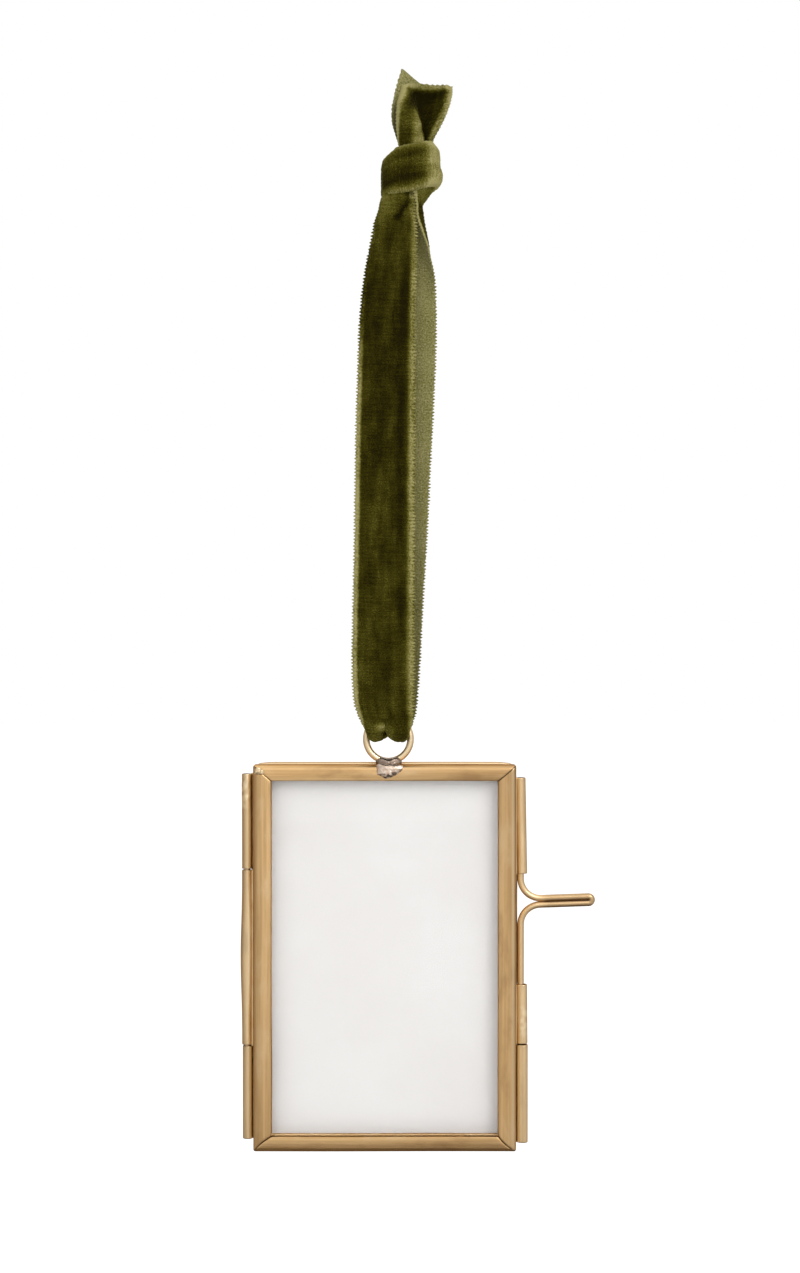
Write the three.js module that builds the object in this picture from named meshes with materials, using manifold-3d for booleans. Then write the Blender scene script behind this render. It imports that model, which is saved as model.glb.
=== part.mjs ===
// Hanging picture frame ornament: two glazed brass leaves on a pin hinge, a sliding wire bolt that
// keeps them shut, a soldered ring, and a knotted loop of velvet ribbon to hang it by.
// Millimetres, +Z up, the front faces -Y. The origin is the hanging point, just under the knot.

import * as THREE from 'three';
import { mergeVertices } from 'three/addons/utils/BufferGeometryUtils.js';
import Module from 'manifold-3d';

const wasm = await Module();
wasm.setup();

// Picture, glass and brass channel
const PICTURE_WIDTH = 50.8;
const PICTURE_HEIGHT = 76.2;
const PICTURE_THICKNESS = 0.3;
const PICTURE_PLAY = 0.1;         // from the picture to each leaf
const PICTURE_MARGIN = 1.6;       // from the picture's edge to the outside of the leaf
const GLASS_THICKNESS = 2;
const GLASS_PLAY = 0.3;           // all round, inside the channel
const CHANNEL_WALL = 0.5;
const STILE_FACE = 3.7;           // visible face of an upright channel
const RAIL_FACE = 3.2;            // visible face of a level channel
const SHOULDER_RADIUS = 1.1;      // rounded outer edge of the visible face
const SHOULDER_STEPS = 5;
const MITRE_GAP = 0.1;            // between two channels at a corner

// Soldered tubes of the hinge and of the bolt
const TUBE_DIAMETER = 2.1;
const TUBE_WALL = 0.22;
const TUBE_SIDES = 16;
const TUBE_GAP = 0.25;            // between the ends of two tubes
const SOLDER_SEAT = 0.05;         // from the solder to the leaf it holds
const SOLDER_NEAR = 0.6;          // the solder's foot on the leaf, from the plane between the leaves
const SOLDER_FAR = 2;
const SOLDER_INSET = 1.5;         // from each end of a tube to its solder

// Hinge on the left
const HINGE_STANDOFF = 0.4;       // from the side of the leaf to the tubes
const HINGE_INSET = 2;            // from the ends of the leaf to the ends of the hinge
const TOP_KNUCKLE = 19.6;
const BOTTOM_KNUCKLE = 19.2;
const PIN_PLAY = 0.18;            // round the pin, inside the knuckles
const PIN_INSET = 0.4;            // from the end of the hinge to the end of the pin

// Bolt on the right: two guides on the front leaf and a keeper on the back leaf
const CLASP_STANDOFF = 0.15;      // from the side of the leaf to the tubes
const UPPER_GUIDE = 19.8;
const UPPER_GUIDE_INSET = 2.8;    // from the top of the leaf to the guide
const LOWER_GUIDE = 12.2;
const KEEPER = 20.2;
const KEEPER_INSET = 1.2;         // from the bottom of the leaf to the keeper
const BOLT_PLAY = 0.15;           // round the wire, inside the tubes
const BOLT_BEND = 4.1;            // bend radius at the middle of the wire
const BOLT_REST_GAP = 1.35;       // from the upper guide to the raised bolt's bend
const BOLT_TOP_INSET = 2.6;       // from the top of the upper guide to the end of the bolt
const BOLT_END_INSET = 0.6;       // from the foot of the lower guide to the end of the bolt
const HANDLE_REACH = 15.2;        // from the middle of the tubes to the tip of the handle
const HANDLE_SLIT = 0.06;         // between the two wires of the handle
const HANDLE_TILT = 2;            // degrees, tip up
const WIRE_SIDES = 10;
const BEND_STEPS = 7;

// Ring on top of the front leaf
const RING_DIAMETER = 10.4;
const RING_WIRE = 1.3;
const RING_SHIFT = 0.75;          // to the right of the middle of the leaf
const RING_SETBACK = 2.65;        // from the front face to the middle of the ring
const RING_SEAT = 0.05;           // from the top of the leaf to the ring
const RING_ROUND_STEPS = 36;
const RING_WIRE_SIDES = 10;

// Lump of solder that holds the ring
const LUMP_WIDTH = 6;
const LUMP_RISE = 1.8;            // above the top of the leaf
const LUMP_FALL = 2.7;            // down the front face
const LUMP_SWELL = 0.45;          // in front of the front face
const LUMP_BACK = 3.3;            // from the front face to the back of the lump
const LUMP_SEAT = 0.08;

// Velvet ribbon
const RIBBON_WIDTH = 13;
const RIBBON_THICKNESS = 1;
const LOOP_DROP = 105;            // from the hanging point to the top of the ring's wire, at its middle
const LOOP_SHIFT = 2.2;           // from the ring to the hanging point, to the right
const LOOP_SWAY = 3;              // how far the front strand bears to the left
const LOOP_BELLY = 5.2;           // from the loop's middle plane to each strand, at its widest
const RING_PLAY = 0.35;           // between the ribbon and the ring it hangs in
const RING_ROCK_ROOM = 2.3;       // from the ring's plane to the ribbon, so that the frame can swing
const FOLD_ANGLE = 64;            // degrees of the ring, each way from its top, that the ribbon fills
const FOLD_STEPS = 8;
const FOLD_SHOULDER = 9.4;        // width of the ribbon beside the ring
const FOLD_SHOULDER_DROOP = 1.5;  // how far the edges stand out there
const KNOT_WIDTH = 11.6;
const KNOT_DEPTH = 9.2;
const KNOT_HEIGHT = 8.4;
const KNOT_ROUNDING = 1.3;
const KNOT_RISE = 7.4;            // from the hanging point to the middle of the knot
const KNOT_SHIFT = 2.5;
const KNOT_TILT = 10;             // degrees, right end up
const KNOT_SIDES = 24;
const FRONT_TAIL_RISE = 23.9;     // from the hanging point to the middle of the cut
const FRONT_TAIL_SHIFT = 6;
const FRONT_TAIL_DEPTH = -3;
const FRONT_TAIL_SLANT = 1;
const BACK_TAIL_RISE = 24.7;
const BACK_TAIL_SHIFT = 5.4;
const BACK_TAIL_DEPTH = 2.8;
const BACK_TAIL_SLANT = -7.4;
const RIBBON_ROWS = 52;           // cross sections along the loop
const TAIL_ROWS = 9;
const RIBBON_COLUMNS = 6;

// The ribbon at a few heights, in shares: fall of LOOP_DROP from the hanging point, shift of LOOP_SWAY to
// the right, gather of RIBBON_WIDTH, and depth of LOOP_BELLY towards the back.
const FRONT_STRAND = [
  { fall: -0.07, shift: 0.4, gather: 0.42, depth: -0.25 },
  { fall: 0, shift: -0.13, gather: 0.46, depth: -0.4 },
  { fall: 0.05, shift: -0.33, gather: 0.6, depth: -0.56 },
  { fall: 0.18, shift: -0.67, gather: 0.82, depth: -0.83 },
  { fall: 0.4, shift: -0.87, gather: 0.91, depth: -1 },
  { fall: 0.65, shift: -0.97, gather: 0.94, depth: -0.98 },
  { fall: 0.85, shift: -1, gather: 0.95, depth: -0.81 },
  { fall: 0.95, shift: -0.97, gather: 0.92, depth: -0.65 },
];
const BACK_STRAND = [
  { fall: 0.95, shift: -0.73, gather: 0.92, depth: 0.65 },
  { fall: 0.85, shift: -0.47, gather: 0.95, depth: 0.81 },
  { fall: 0.65, shift: -0.1, gather: 0.94, depth: 0.98 },
  { fall: 0.4, shift: 0.3, gather: 0.92, depth: 1 },
  { fall: 0.18, shift: 0.67, gather: 0.86, depth: 0.83 },
  { fall: 0.06, shift: 0.63, gather: 0.7, depth: 0.58 },
  { fall: 0, shift: 0.63, gather: 0.5, depth: 0.4 },
  { fall: -0.07, shift: 0.8, gather: 0.42, depth: 0.25 },
];

// The two cut ends, in shares of where each one ends, with gather as above. slant is a share of how much
// higher the right edge of the cut is than the left one.
const FRONT_TAIL = [
  { rise: 0.38, shift: 0.52, gather: 0.5, depth: 0.33, slant: 0 },
  { rise: 0.61, shift: 0.62, gather: 0.63, depth: 0.67, slant: 0 },
  { rise: 0.81, shift: 0.78, gather: 0.79, depth: 0.93, slant: 0 },
  { rise: 1, shift: 1, gather: 0.78, depth: 1, slant: 1 },
];
const BACK_TAIL = [
  { rise: 0.36, shift: 0.59, gather: 0.46, depth: 0.36, slant: 0 },
  { rise: 0.57, shift: 0.56, gather: 0.66, depth: 0.64, slant: 0.07 },
  { rise: 0.74, shift: 0.69, gather: 0.8, depth: 0.86, slant: 0.27 },
  { rise: 0.89, shift: 0.85, gather: 0.8, depth: 0.96, slant: 0.68 },
  { rise: 1, shift: 1, gather: 0.76, depth: 1, slant: 1 },
];

// Sizes that follow from the ones above
const leafWidth = PICTURE_WIDTH + 2 * PICTURE_MARGIN;
const leafHeight = PICTURE_HEIGHT + 2 * PICTURE_MARGIN;
const leafDepth = GLASS_THICKNESS + 2 * (GLASS_PLAY + CHANNEL_WALL);
const leafGap = PICTURE_THICKNESS + 2 * PICTURE_PLAY;
const frontFace = -(leafGap / 2 + leafDepth);
const tubeRadius = TUBE_DIAMETER / 2;
const boreRadius = tubeRadius - TUBE_WALL;
const hingeAxis = -(leafWidth / 2 + HINGE_STANDOFF + tubeRadius);
const claspAxis = leafWidth / 2 + CLASP_STANDOFF + tubeRadius;
const boltRadius = boreRadius - BOLT_PLAY;
const ringRadius = (RING_DIAMETER - RING_WIRE) / 2;
const ringDepth = frontFace + RING_SETBACK;
const ringHeight = leafHeight + RING_SEAT + RING_DIAMETER / 2;
const ringTop = ringHeight + ringRadius;

// Points closer than this are one point
const SAME_POINT = 1e-4;

// Materials, with a copy for each mesh
const brass = { color: 0xc39f69, roughness: 0.42, metalness: 0.9 };
const solder = { color: 0xb8a58c, roughness: 0.5, metalness: 0.85 };
const glass = { color: 0xeef2f0, roughness: 0.05, metalness: 0, transparent: true, opacity: 0.25 };
const card = { color: 0xecebe8, roughness: 0.85, metalness: 0 };
const velvet = { color: 0x4b4812, roughness: 0.95, metalness: 0 };

function radians(degrees) {
  return THREE.MathUtils.degToRad(degrees);
}

// Keeps only the positions and shares the vertices, so that the surface is closed
function welded(geometry) {
  geometry.deleteAttribute('normal');
  geometry.deleteAttribute('uv');
  const merged = mergeVertices(geometry, SAME_POINT);
  merged.computeVertexNormals();
  return merged;
}

function toSolid(geometry) {
  const merged = welded(geometry);
  const vertProperties = new Float32Array(merged.attributes.position.array);
  const triVerts = new Uint32Array(merged.index.array);
  return new wasm.Manifold(new wasm.Mesh({ numProp: 3, vertProperties, triVerts }));
}

function toGeometry(solid) {
  const mesh = solid.getMesh();
  const geometry = new THREE.BufferGeometry();
  geometry.setAttribute('position', new THREE.Float32BufferAttribute(mesh.vertProperties, 3));
  geometry.setIndex(Array.from(mesh.triVerts));
  geometry.computeVertexNormals();
  return geometry;
}

function addPiece(group, name, geometry, material, x = 0, y = 0, z = 0) {
  const mesh = new THREE.Mesh(geometry, new THREE.MeshStandardMaterial(material));
  mesh.name = name;
  mesh.position.set(x, y, z);
  group.add(mesh);
  return mesh;
}

function arcPoints(centerX, centerY, radius, fromDegrees, toDegrees, steps) {
  return Array.from({ length: steps + 1 }, (_, i) => {
    const angle = radians(fromDegrees + ((toDegrees - fromDegrees) * i) / steps);
    return new THREE.Vector2(centerX + radius * Math.cos(angle), centerY + radius * Math.sin(angle));
  });
}

// Cross section of the channel: x goes inward from the leaf's outer side, y back from its face
function channelProfile(face) {
  const bend = SHOULDER_RADIUS - CHANNEL_WALL;
  return new THREE.Shape([
    ...arcPoints(SHOULDER_RADIUS, SHOULDER_RADIUS, SHOULDER_RADIUS, 180, 270, SHOULDER_STEPS),
    new THREE.Vector2(face, 0),
    new THREE.Vector2(face, CHANNEL_WALL),
    ...arcPoints(SHOULDER_RADIUS, SHOULDER_RADIUS, bend, 270, 180, SHOULDER_STEPS),
    new THREE.Vector2(CHANNEL_WALL, leafDepth - CHANNEL_WALL),
    new THREE.Vector2(face, leafDepth - CHANNEL_WALL),
    new THREE.Vector2(face, leafDepth),
    new THREE.Vector2(0, leafDepth),
  ]);
}

// A mitred length of channel along X, with its outer side at z = 0 and its face at y = 0
function channelLength(length, face, meetingFace) {
  const geometry = new THREE.ExtrudeGeometry(channelProfile(face), { depth: length, bevelEnabled: false });
  const position = geometry.attributes.position;
  for (let i = 0; i < position.count; i += 1) {
    const inward = position.getX(i);
    const reach = length / 2 - MITRE_GAP / 2 - (inward * meetingFace) / face;
    const end = position.getZ(i) > length / 2 ? -1 : 1;
    position.setXYZ(i, end * reach, position.getY(i), inward);
  }
  return welded(geometry);
}

// Four mitred channels round a pane of glass. The leaf's face is at y = 0 and it stands on z = 0.
function glazedLeaf(name, sideAtMinusX, sideAtPlusX) {
  const leaf = new THREE.Group();
  const rail = channelLength(leafWidth, RAIL_FACE, STILE_FACE);
  const stile = channelLength(leafHeight, STILE_FACE, RAIL_FACE);
  addPiece(leaf, `${name}_rail_bottom`, rail, brass);
  addPiece(leaf, `${name}_rail_top`, rail, brass, 0, 0, leafHeight).rotation.y = Math.PI;
  for (const [side, way] of [[sideAtMinusX, -1], [sideAtPlusX, 1]]) {
    const upright = addPiece(leaf, `${name}_stile_${side}`, stile, brass);
    upright.position.set((way * leafWidth) / 2, 0, leafHeight / 2);
    upright.rotation.y = (-way * Math.PI) / 2;
  }
  const edge = 2 * (CHANNEL_WALL + GLASS_PLAY);
  const pane = new THREE.BoxGeometry(leafWidth - edge, GLASS_THICKNESS, leafHeight - edge);
  addPiece(leaf, `${name}_glass`, welded(pane), glass, 0, leafDepth / 2, leafHeight / 2);
  return leaf;
}

// A tube along Z with the solder that joins it to a leaf. toLeaf is the way to the leaf along X,
// standoff the distance to it, and leafSide the side that the leaf is on along Y.
function solderedTube(length, toLeaf, standoff, leafSide) {
  const tube = new THREE.LatheGeometry([
    new THREE.Vector2(boreRadius, 0),
    new THREE.Vector2(tubeRadius, 0),
    new THREE.Vector2(tubeRadius, length),
    new THREE.Vector2(boreRadius, length),
    new THREE.Vector2(boreRadius, 0),
  ], TUBE_SIDES);
  tube.rotateX(Math.PI / 2);
  const foot = tubeRadius + standoff - SOLDER_SEAT;
  const [inTube, besideTube] = arcPoints(0, 0, (tubeRadius + boreRadius) / 2, 25, 70, 1);
  const outline = [
    new THREE.Vector2(foot, SOLDER_NEAR),
    new THREE.Vector2(foot, SOLDER_FAR),
    besideTube,
    inTube,
  ].map((point) => new THREE.Vector2(point.x * toLeaf, point.y * leafSide));
  const bead = new THREE.ExtrudeGeometry(new THREE.Shape(outline), {
    depth: length - 2 * SOLDER_INSET,
    bevelEnabled: false,
  });
  bead.translate(0, 0, SOLDER_INSET);
  return toGeometry(toSolid(tube).add(toSolid(bead)));
}

const FRONT = -1;
const BACK = 1;

// Hinge: the middle knuckle on the front leaf, the outer two and the pin on the back leaf
function addHinge(frame) {
  const bottomEnd = HINGE_INSET + BOTTOM_KNUCKLE;
  const topStart = leafHeight - HINGE_INSET - TOP_KNUCKLE;
  const middle = topStart - bottomEnd - 2 * TUBE_GAP;
  const knuckles = [
    { name: 'hinge_knuckle_bottom', length: BOTTOM_KNUCKLE, foot: HINGE_INSET, leaf: BACK },
    { name: 'hinge_knuckle_middle', length: middle, foot: bottomEnd + TUBE_GAP, leaf: FRONT },
    { name: 'hinge_knuckle_top', length: TOP_KNUCKLE, foot: topStart, leaf: BACK },
  ];
  for (const { name, length, foot, leaf } of knuckles) {
    addPiece(frame, name, solderedTube(length, 1, HINGE_STANDOFF, leaf), brass, hingeAxis, 0, foot);
  }
  const pinRadius = boreRadius - PIN_PLAY;
  const pinLength = leafHeight - 2 * (HINGE_INSET + PIN_INSET);
  const pin = new THREE.CylinderGeometry(pinRadius, pinRadius, pinLength, TUBE_SIDES);
  pin.rotateX(Math.PI / 2);
  addPiece(frame, 'hinge_pin', welded(pin), brass, hingeAxis, 0, leafHeight / 2);
}

// A path through corners in the XZ plane, with each inner corner rounded. Every straight takes one
// step and every bend BEND_STEPS, so the parameter runs by steps and not by length.
class BentWire extends THREE.Curve {
  constructor(corners) {
    super();
    const route = [corners[0].at];
    for (let i = 1; i < corners.length - 1; i += 1) {
      route.push(...BentWire.bend(corners[i - 1].at, corners[i], corners[i + 1].at));
    }
    route.push(corners[corners.length - 1].at);
    this.points = route.filter((point, i) => i === 0 || point.distanceTo(route[i - 1]) > SAME_POINT);
  }

  static bend(before, { at, radius }, after) {
    const into = at.clone().sub(before).normalize();
    const outOf = after.clone().sub(at).normalize();
    const turn = Math.acos(THREE.MathUtils.clamp(into.dot(outOf), -1, 1));
    const inward = outOf.clone().sub(into).normalize();
    const center = at.clone().addScaledVector(inward, radius / Math.cos(turn / 2));
    const spokeIn = at.clone().addScaledVector(into, -radius * Math.tan(turn / 2)).sub(center);
    const axis = new THREE.Vector3().crossVectors(into, outOf).normalize();
    return Array.from({ length: BEND_STEPS + 1 }, (_, i) =>
      spokeIn.clone().applyAxisAngle(axis, (turn * i) / BEND_STEPS).add(center));
  }

  get steps() {
    return this.points.length - 1;
  }

  getPoint(t) {
    const place = t * this.steps;
    const index = Math.min(Math.floor(place), this.steps - 1);
    return this.points[index].clone().lerp(this.points[index + 1], place - index);
  }

  getPointAt(u) {
    return this.getPoint(u);
  }

  getTangentAt(u) {
    const index = Math.round(u * this.steps);
    const before = this.points[Math.max(index - 1, 0)];
    const here = this.points[index];
    const after = this.points[Math.min(index + 1, this.steps)];
    const into = here.clone().sub(before).normalize();
    const outOf = after.clone().sub(here).normalize();
    return into.add(outOf).normalize();
  }
}

function roundWire(corners, radius) {
  const path = new BentWire(corners);
  const section = arcPoints(0, 0, radius, 0, 360 - 360 / WIRE_SIDES, WIRE_SIDES - 1);
  return welded(new THREE.ExtrudeGeometry(new THREE.Shape(section), {
    steps: path.steps,
    extrudePath: path,
    bevelEnabled: false,
  }));
}

// Bolt: one wire, down from the upper guide, out and back as a doubled handle, and into the lower guide
function boltWire(upperGuideFoot, upperGuideTop, lowerGuideFoot) {
  const along = new THREE.Vector3(Math.cos(radians(HANDLE_TILT)), 0, Math.sin(radians(HANDLE_TILT)));
  const down = new THREE.Vector3(along.z, 0, -along.x);
  const spread = 2 * boltRadius + HANDLE_SLIT;
  const bendLength = BOLT_BEND * Math.tan(radians(90 + HANDLE_TILT) / 2);
  const upper = new THREE.Vector3(0, 0, upperGuideFoot - BOLT_REST_GAP - bendLength);
  const upperTip = upper.clone().addScaledVector(along, (HANDLE_REACH - boltRadius) / along.x);
  const lowerTip = upperTip.clone().addScaledVector(down, spread);
  const lower = lowerTip.clone().addScaledVector(along, -lowerTip.x / along.x);
  return roundWire([
    { at: new THREE.Vector3(0, 0, upperGuideTop - BOLT_TOP_INSET) },
    { at: upper, radius: BOLT_BEND },
    { at: upperTip, radius: spread / 2 },
    { at: lowerTip, radius: spread / 2 },
    { at: lower, radius: BOLT_BEND },
    { at: new THREE.Vector3(0, 0, lowerGuideFoot + BOLT_END_INSET) },
  ], boltRadius);
}

function addClasp(frame) {
  const upperFoot = leafHeight - UPPER_GUIDE_INSET - UPPER_GUIDE;
  const lowerFoot = KEEPER_INSET + KEEPER + TUBE_GAP;
  const tubes = [
    { name: 'bolt_guide_upper', length: UPPER_GUIDE, foot: upperFoot, leaf: FRONT },
    { name: 'bolt_guide_lower', length: LOWER_GUIDE, foot: lowerFoot, leaf: FRONT },
    { name: 'bolt_keeper', length: KEEPER, foot: KEEPER_INSET, leaf: BACK },
  ];
  for (const { name, length, foot, leaf } of tubes) {
    addPiece(frame, name, solderedTube(length, -1, CLASP_STANDOFF, leaf), brass, claspAxis, 0, foot);
  }
  const bolt = boltWire(upperFoot, upperFoot + UPPER_GUIDE, lowerFoot);
  addPiece(frame, 'clasp_bolt', bolt, brass, claspAxis, 0, 0);
}

function ringGeometry(wire) {
  const ring = new THREE.TorusGeometry(ringRadius, wire / 2, RING_WIRE_SIDES, RING_ROUND_STEPS);
  ring.rotateX(Math.PI / 2);
  ring.translate(RING_SHIFT, ringDepth, ringHeight);
  return ring;
}

// Solder: a round lump over the top edge of the front leaf, cut away where the leaf and the ring are
function ringSolder() {
  const lump = new THREE.SphereGeometry(1, 20, 12);
  const front = frontFace - LUMP_SWELL;
  const back = frontFace + LUMP_BACK;
  lump.scale(LUMP_WIDTH / 2, (back - front) / 2, (LUMP_RISE + LUMP_FALL) / 2);
  lump.translate(RING_SHIFT, (front + back) / 2, leafHeight + (LUMP_RISE - LUMP_FALL) / 2);
  const round = SHOULDER_RADIUS + LUMP_SEAT;
  const reach = LUMP_RISE + LUMP_FALL;
  const outline = new THREE.Shape([
    ...arcPoints(SHOULDER_RADIUS, SHOULDER_RADIUS, round, 180, 270, SHOULDER_STEPS),
    new THREE.Vector2(reach, -LUMP_SEAT),
    new THREE.Vector2(reach, LUMP_BACK + reach),
    new THREE.Vector2(-LUMP_SEAT, LUMP_BACK + reach),
  ]);
  const railRoom = new THREE.ExtrudeGeometry(outline, { depth: leafWidth, bevelEnabled: false });
  railRoom.rotateY(Math.PI / 2);
  railRoom.translate(-leafWidth / 2, frontFace, leafHeight);
  const ringRoom = ringGeometry(RING_WIRE + 2 * LUMP_SEAT);
  return toGeometry(toSolid(lump).subtract(toSolid(railRoom)).subtract(toSolid(ringRoom)));
}

// One cross section of the ribbon: its two edges, how far they droop outward, and its thickness
function ribbonSection(middle, width, droop, slant = 0) {
  const half = new THREE.Vector3(width / 2, 0, slant / 2);
  return {
    left: middle.clone().sub(half),
    right: middle.clone().add(half),
    form: new THREE.Vector3(droop, (RIBBON_THICKNESS * RIBBON_WIDTH) / width, 0),
  };
}

// A closed strip through the sections. Its outward side is its direction crossed with its width.
function ribbonStrip(sections, rows) {
  const lefts = new THREE.CatmullRomCurve3(sections.map(({ left }) => left));
  const rights = new THREE.CatmullRomCurve3(sections.map(({ right }) => right));
  const forms = new THREE.CatmullRomCurve3(sections.map(({ form }) => form));
  const middleAt = (t) => lefts.getPoint(t).add(rights.getPoint(t)).multiplyScalar(0.5);
  const positions = [];
  const step = 1e-3;
  for (let row = 0; row <= rows; row += 1) {
    const t = row / rows;
    const left = lefts.getPoint(t);
    const right = rights.getPoint(t);
    const along = middleAt(Math.min(t + step, 1)).sub(middleAt(Math.max(t - step, 0)));
    const outward = along.cross(right.clone().sub(left)).normalize();
    const { x: droop, y: thickness } = forms.getPoint(t);
    const across = Array.from({ length: RIBBON_COLUMNS + 1 }, (_, column) => column / RIBBON_COLUMNS);
    const pointAt = (share, layer) => left.clone().lerp(right, share)
      .addScaledVector(outward, droop * (2 * share - 1) ** 2 + layer);
    positions.push(...across.map((share) => pointAt(share, thickness / 2)));
    positions.push(...across.reverse().map((share) => pointAt(share, -thickness / 2)));
  }
  return stripGeometry(positions, rows);
}

// Joins rows of points into a closed surface. A row goes across the outer side and back along the inner one.
function stripGeometry(positions, rows) {
  const around = positions.length / (rows + 1);
  const faces = [];
  for (let row = 0; row < rows; row += 1) {
    for (let i = 0; i < around; i += 1) {
      const here = row * around + i;
      const beside = row * around + ((i + 1) % around);
      faces.push(here, here + around, beside, beside, here + around, beside + around);
    }
  }
  const last = rows * around;
  for (let i = 0; i < around / 2 - 1; i += 1) {
    const opposite = around - 1 - i;
    faces.push(i, i + 1, opposite, opposite, i + 1, opposite - 1);
    faces.push(last + i, last + opposite, last + i + 1);
    faces.push(last + opposite, last + opposite - 1, last + i + 1);
  }
  const geometry = new THREE.BufferGeometry().setFromPoints(positions);
  geometry.setIndex(faces);
  return geometry;
}

function strandSections(strand) {
  return strand.map(({ fall, shift, gather, depth }) => {
    const middle = new THREE.Vector3(shift * LOOP_SWAY, depth * LOOP_BELLY, -fall * LOOP_DROP);
    return ribbonSection(middle, gather * RIBBON_WIDTH, 0);
  });
}

// The ribbon's turn through the ring: an arched band close under the ring's wire
function foldSections() {
  const reach = RING_DIAMETER / 2 - RING_WIRE - RING_PLAY;
  const foldWidth = 2 * reach * Math.sin(radians(FOLD_ANGLE));
  const foldDroop = reach * (1 - Math.cos(radians(FOLD_ANGLE)));
  const foldThickness = (RIBBON_THICKNESS * RIBBON_WIDTH) / foldWidth;
  const depth = RING_WIRE / 2 + RING_PLAY + foldThickness / 2;
  const side = RING_ROCK_ROOM + foldThickness / 2;
  return Array.from({ length: FOLD_STEPS + 1 }, (_, i) => {
    const angle = radians(-90 + (180 * i) / FOLD_STEPS);
    const toShoulder = Math.sin(angle) ** 2;
    const middle = new THREE.Vector3(
      -LOOP_SHIFT,
      side * Math.sin(angle),
      -LOOP_DROP - depth * Math.cos(angle),
    );
    const width = THREE.MathUtils.lerp(foldWidth, FOLD_SHOULDER, toShoulder);
    return ribbonSection(middle, width, THREE.MathUtils.lerp(foldDroop, FOLD_SHOULDER_DROOP, toShoulder));
  });
}

// end is where the middle of the cut is, and cutSlant how much higher its right edge is
function tailSections(tail, end, cutSlant) {
  return tail.map(({ rise, shift, gather, depth, slant }) => {
    const middle = new THREE.Vector3(shift, depth, rise).multiply(end);
    return ribbonSection(middle, gather * RIBBON_WIDTH, 0, slant * cutSlant);
  });
}

function knotBody() {
  const outline = Array.from({ length: KNOT_SIDES }, (_, i) => {
    const angle = (2 * Math.PI * i) / KNOT_SIDES;
    return new THREE.Vector2(
      (KNOT_WIDTH / 2 - KNOT_ROUNDING) * Math.cos(angle),
      (KNOT_DEPTH / 2 - KNOT_ROUNDING) * Math.sin(angle),
    );
  });
  const body = new THREE.ExtrudeGeometry(new THREE.Shape(outline), {
    depth: KNOT_HEIGHT - 2 * KNOT_ROUNDING,
    bevelThickness: KNOT_ROUNDING,
    bevelSize: KNOT_ROUNDING,
    bevelSegments: 2,
  });
  body.translate(0, 0, KNOT_ROUNDING - KNOT_HEIGHT / 2);
  body.rotateY(radians(-KNOT_TILT));
  body.translate(KNOT_SHIFT, 0, KNOT_RISE);
  return body;
}

// The whole ribbon is one piece: the loop through the ring, the knot and the two ends
function ribbonGeometry() {
  const loop = [...strandSections(FRONT_STRAND), ...foldSections(), ...strandSections(BACK_STRAND)];
  const frontEnd = new THREE.Vector3(FRONT_TAIL_SHIFT, FRONT_TAIL_DEPTH, FRONT_TAIL_RISE);
  const backEnd = new THREE.Vector3(BACK_TAIL_SHIFT, BACK_TAIL_DEPTH, BACK_TAIL_RISE);
  const strips = [
    ribbonStrip(loop, RIBBON_ROWS),
    ribbonStrip(tailSections(FRONT_TAIL, frontEnd, FRONT_TAIL_SLANT), TAIL_ROWS),
    ribbonStrip(tailSections(BACK_TAIL, backEnd, BACK_TAIL_SLANT), TAIL_ROWS),
  ];
  return toGeometry(strips.reduce((whole, strip) => whole.add(toSolid(strip)), toSolid(knotBody())));
}

// Frame, standing on z = 0 with the plane between the leaves at y = 0
const frame = new THREE.Group();
const frontLeaf = glazedLeaf('front', 'left', 'right');
frontLeaf.position.y = frontFace;
const backLeaf = glazedLeaf('back', 'right', 'left');
backLeaf.position.y = -frontFace;
backLeaf.rotation.z = Math.PI;
frame.add(frontLeaf, backLeaf);
const picture = new THREE.BoxGeometry(PICTURE_WIDTH, PICTURE_THICKNESS, PICTURE_HEIGHT);
addPiece(frame, 'insert_card', welded(picture), card, 0, 0, leafHeight / 2);
addHinge(frame);
addClasp(frame);
addPiece(frame, 'hanging_ring', welded(ringGeometry(RING_WIRE)), brass);
addPiece(frame, 'ring_solder', ringSolder(), solder);

// The frame hangs from the ribbon by its ring
frame.position.set(-LOOP_SHIFT - RING_SHIFT, -ringDepth, -LOOP_DROP - ringTop);
const ornament = new THREE.Group();
ornament.add(frame);
addPiece(ornament, 'velvet_ribbon', ribbonGeometry(), velvet);

export default ornament;
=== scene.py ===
import math
from functools import partial

import bmesh
import bpy
import numpy as np
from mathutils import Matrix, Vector, noise


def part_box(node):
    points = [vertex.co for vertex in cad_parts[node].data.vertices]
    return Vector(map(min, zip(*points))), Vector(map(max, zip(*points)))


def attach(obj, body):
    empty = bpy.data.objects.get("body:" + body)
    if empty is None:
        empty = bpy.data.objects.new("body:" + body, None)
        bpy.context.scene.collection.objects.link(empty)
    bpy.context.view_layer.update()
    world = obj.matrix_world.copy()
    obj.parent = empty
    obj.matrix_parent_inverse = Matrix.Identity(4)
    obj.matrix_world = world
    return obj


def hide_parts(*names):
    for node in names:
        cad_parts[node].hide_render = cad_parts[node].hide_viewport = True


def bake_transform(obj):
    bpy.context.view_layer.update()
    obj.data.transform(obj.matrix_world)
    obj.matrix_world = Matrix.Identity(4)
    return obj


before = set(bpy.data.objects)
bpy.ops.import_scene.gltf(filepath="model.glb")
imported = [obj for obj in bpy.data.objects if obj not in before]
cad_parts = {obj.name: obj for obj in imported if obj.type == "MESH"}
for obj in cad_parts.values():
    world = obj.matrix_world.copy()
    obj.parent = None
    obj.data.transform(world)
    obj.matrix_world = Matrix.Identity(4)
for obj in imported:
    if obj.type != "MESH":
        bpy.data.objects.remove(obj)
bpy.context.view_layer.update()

# Lengths are in millimetres, unless a comment says metres, and become metres when a mesh is made
MM = 0.001

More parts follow.
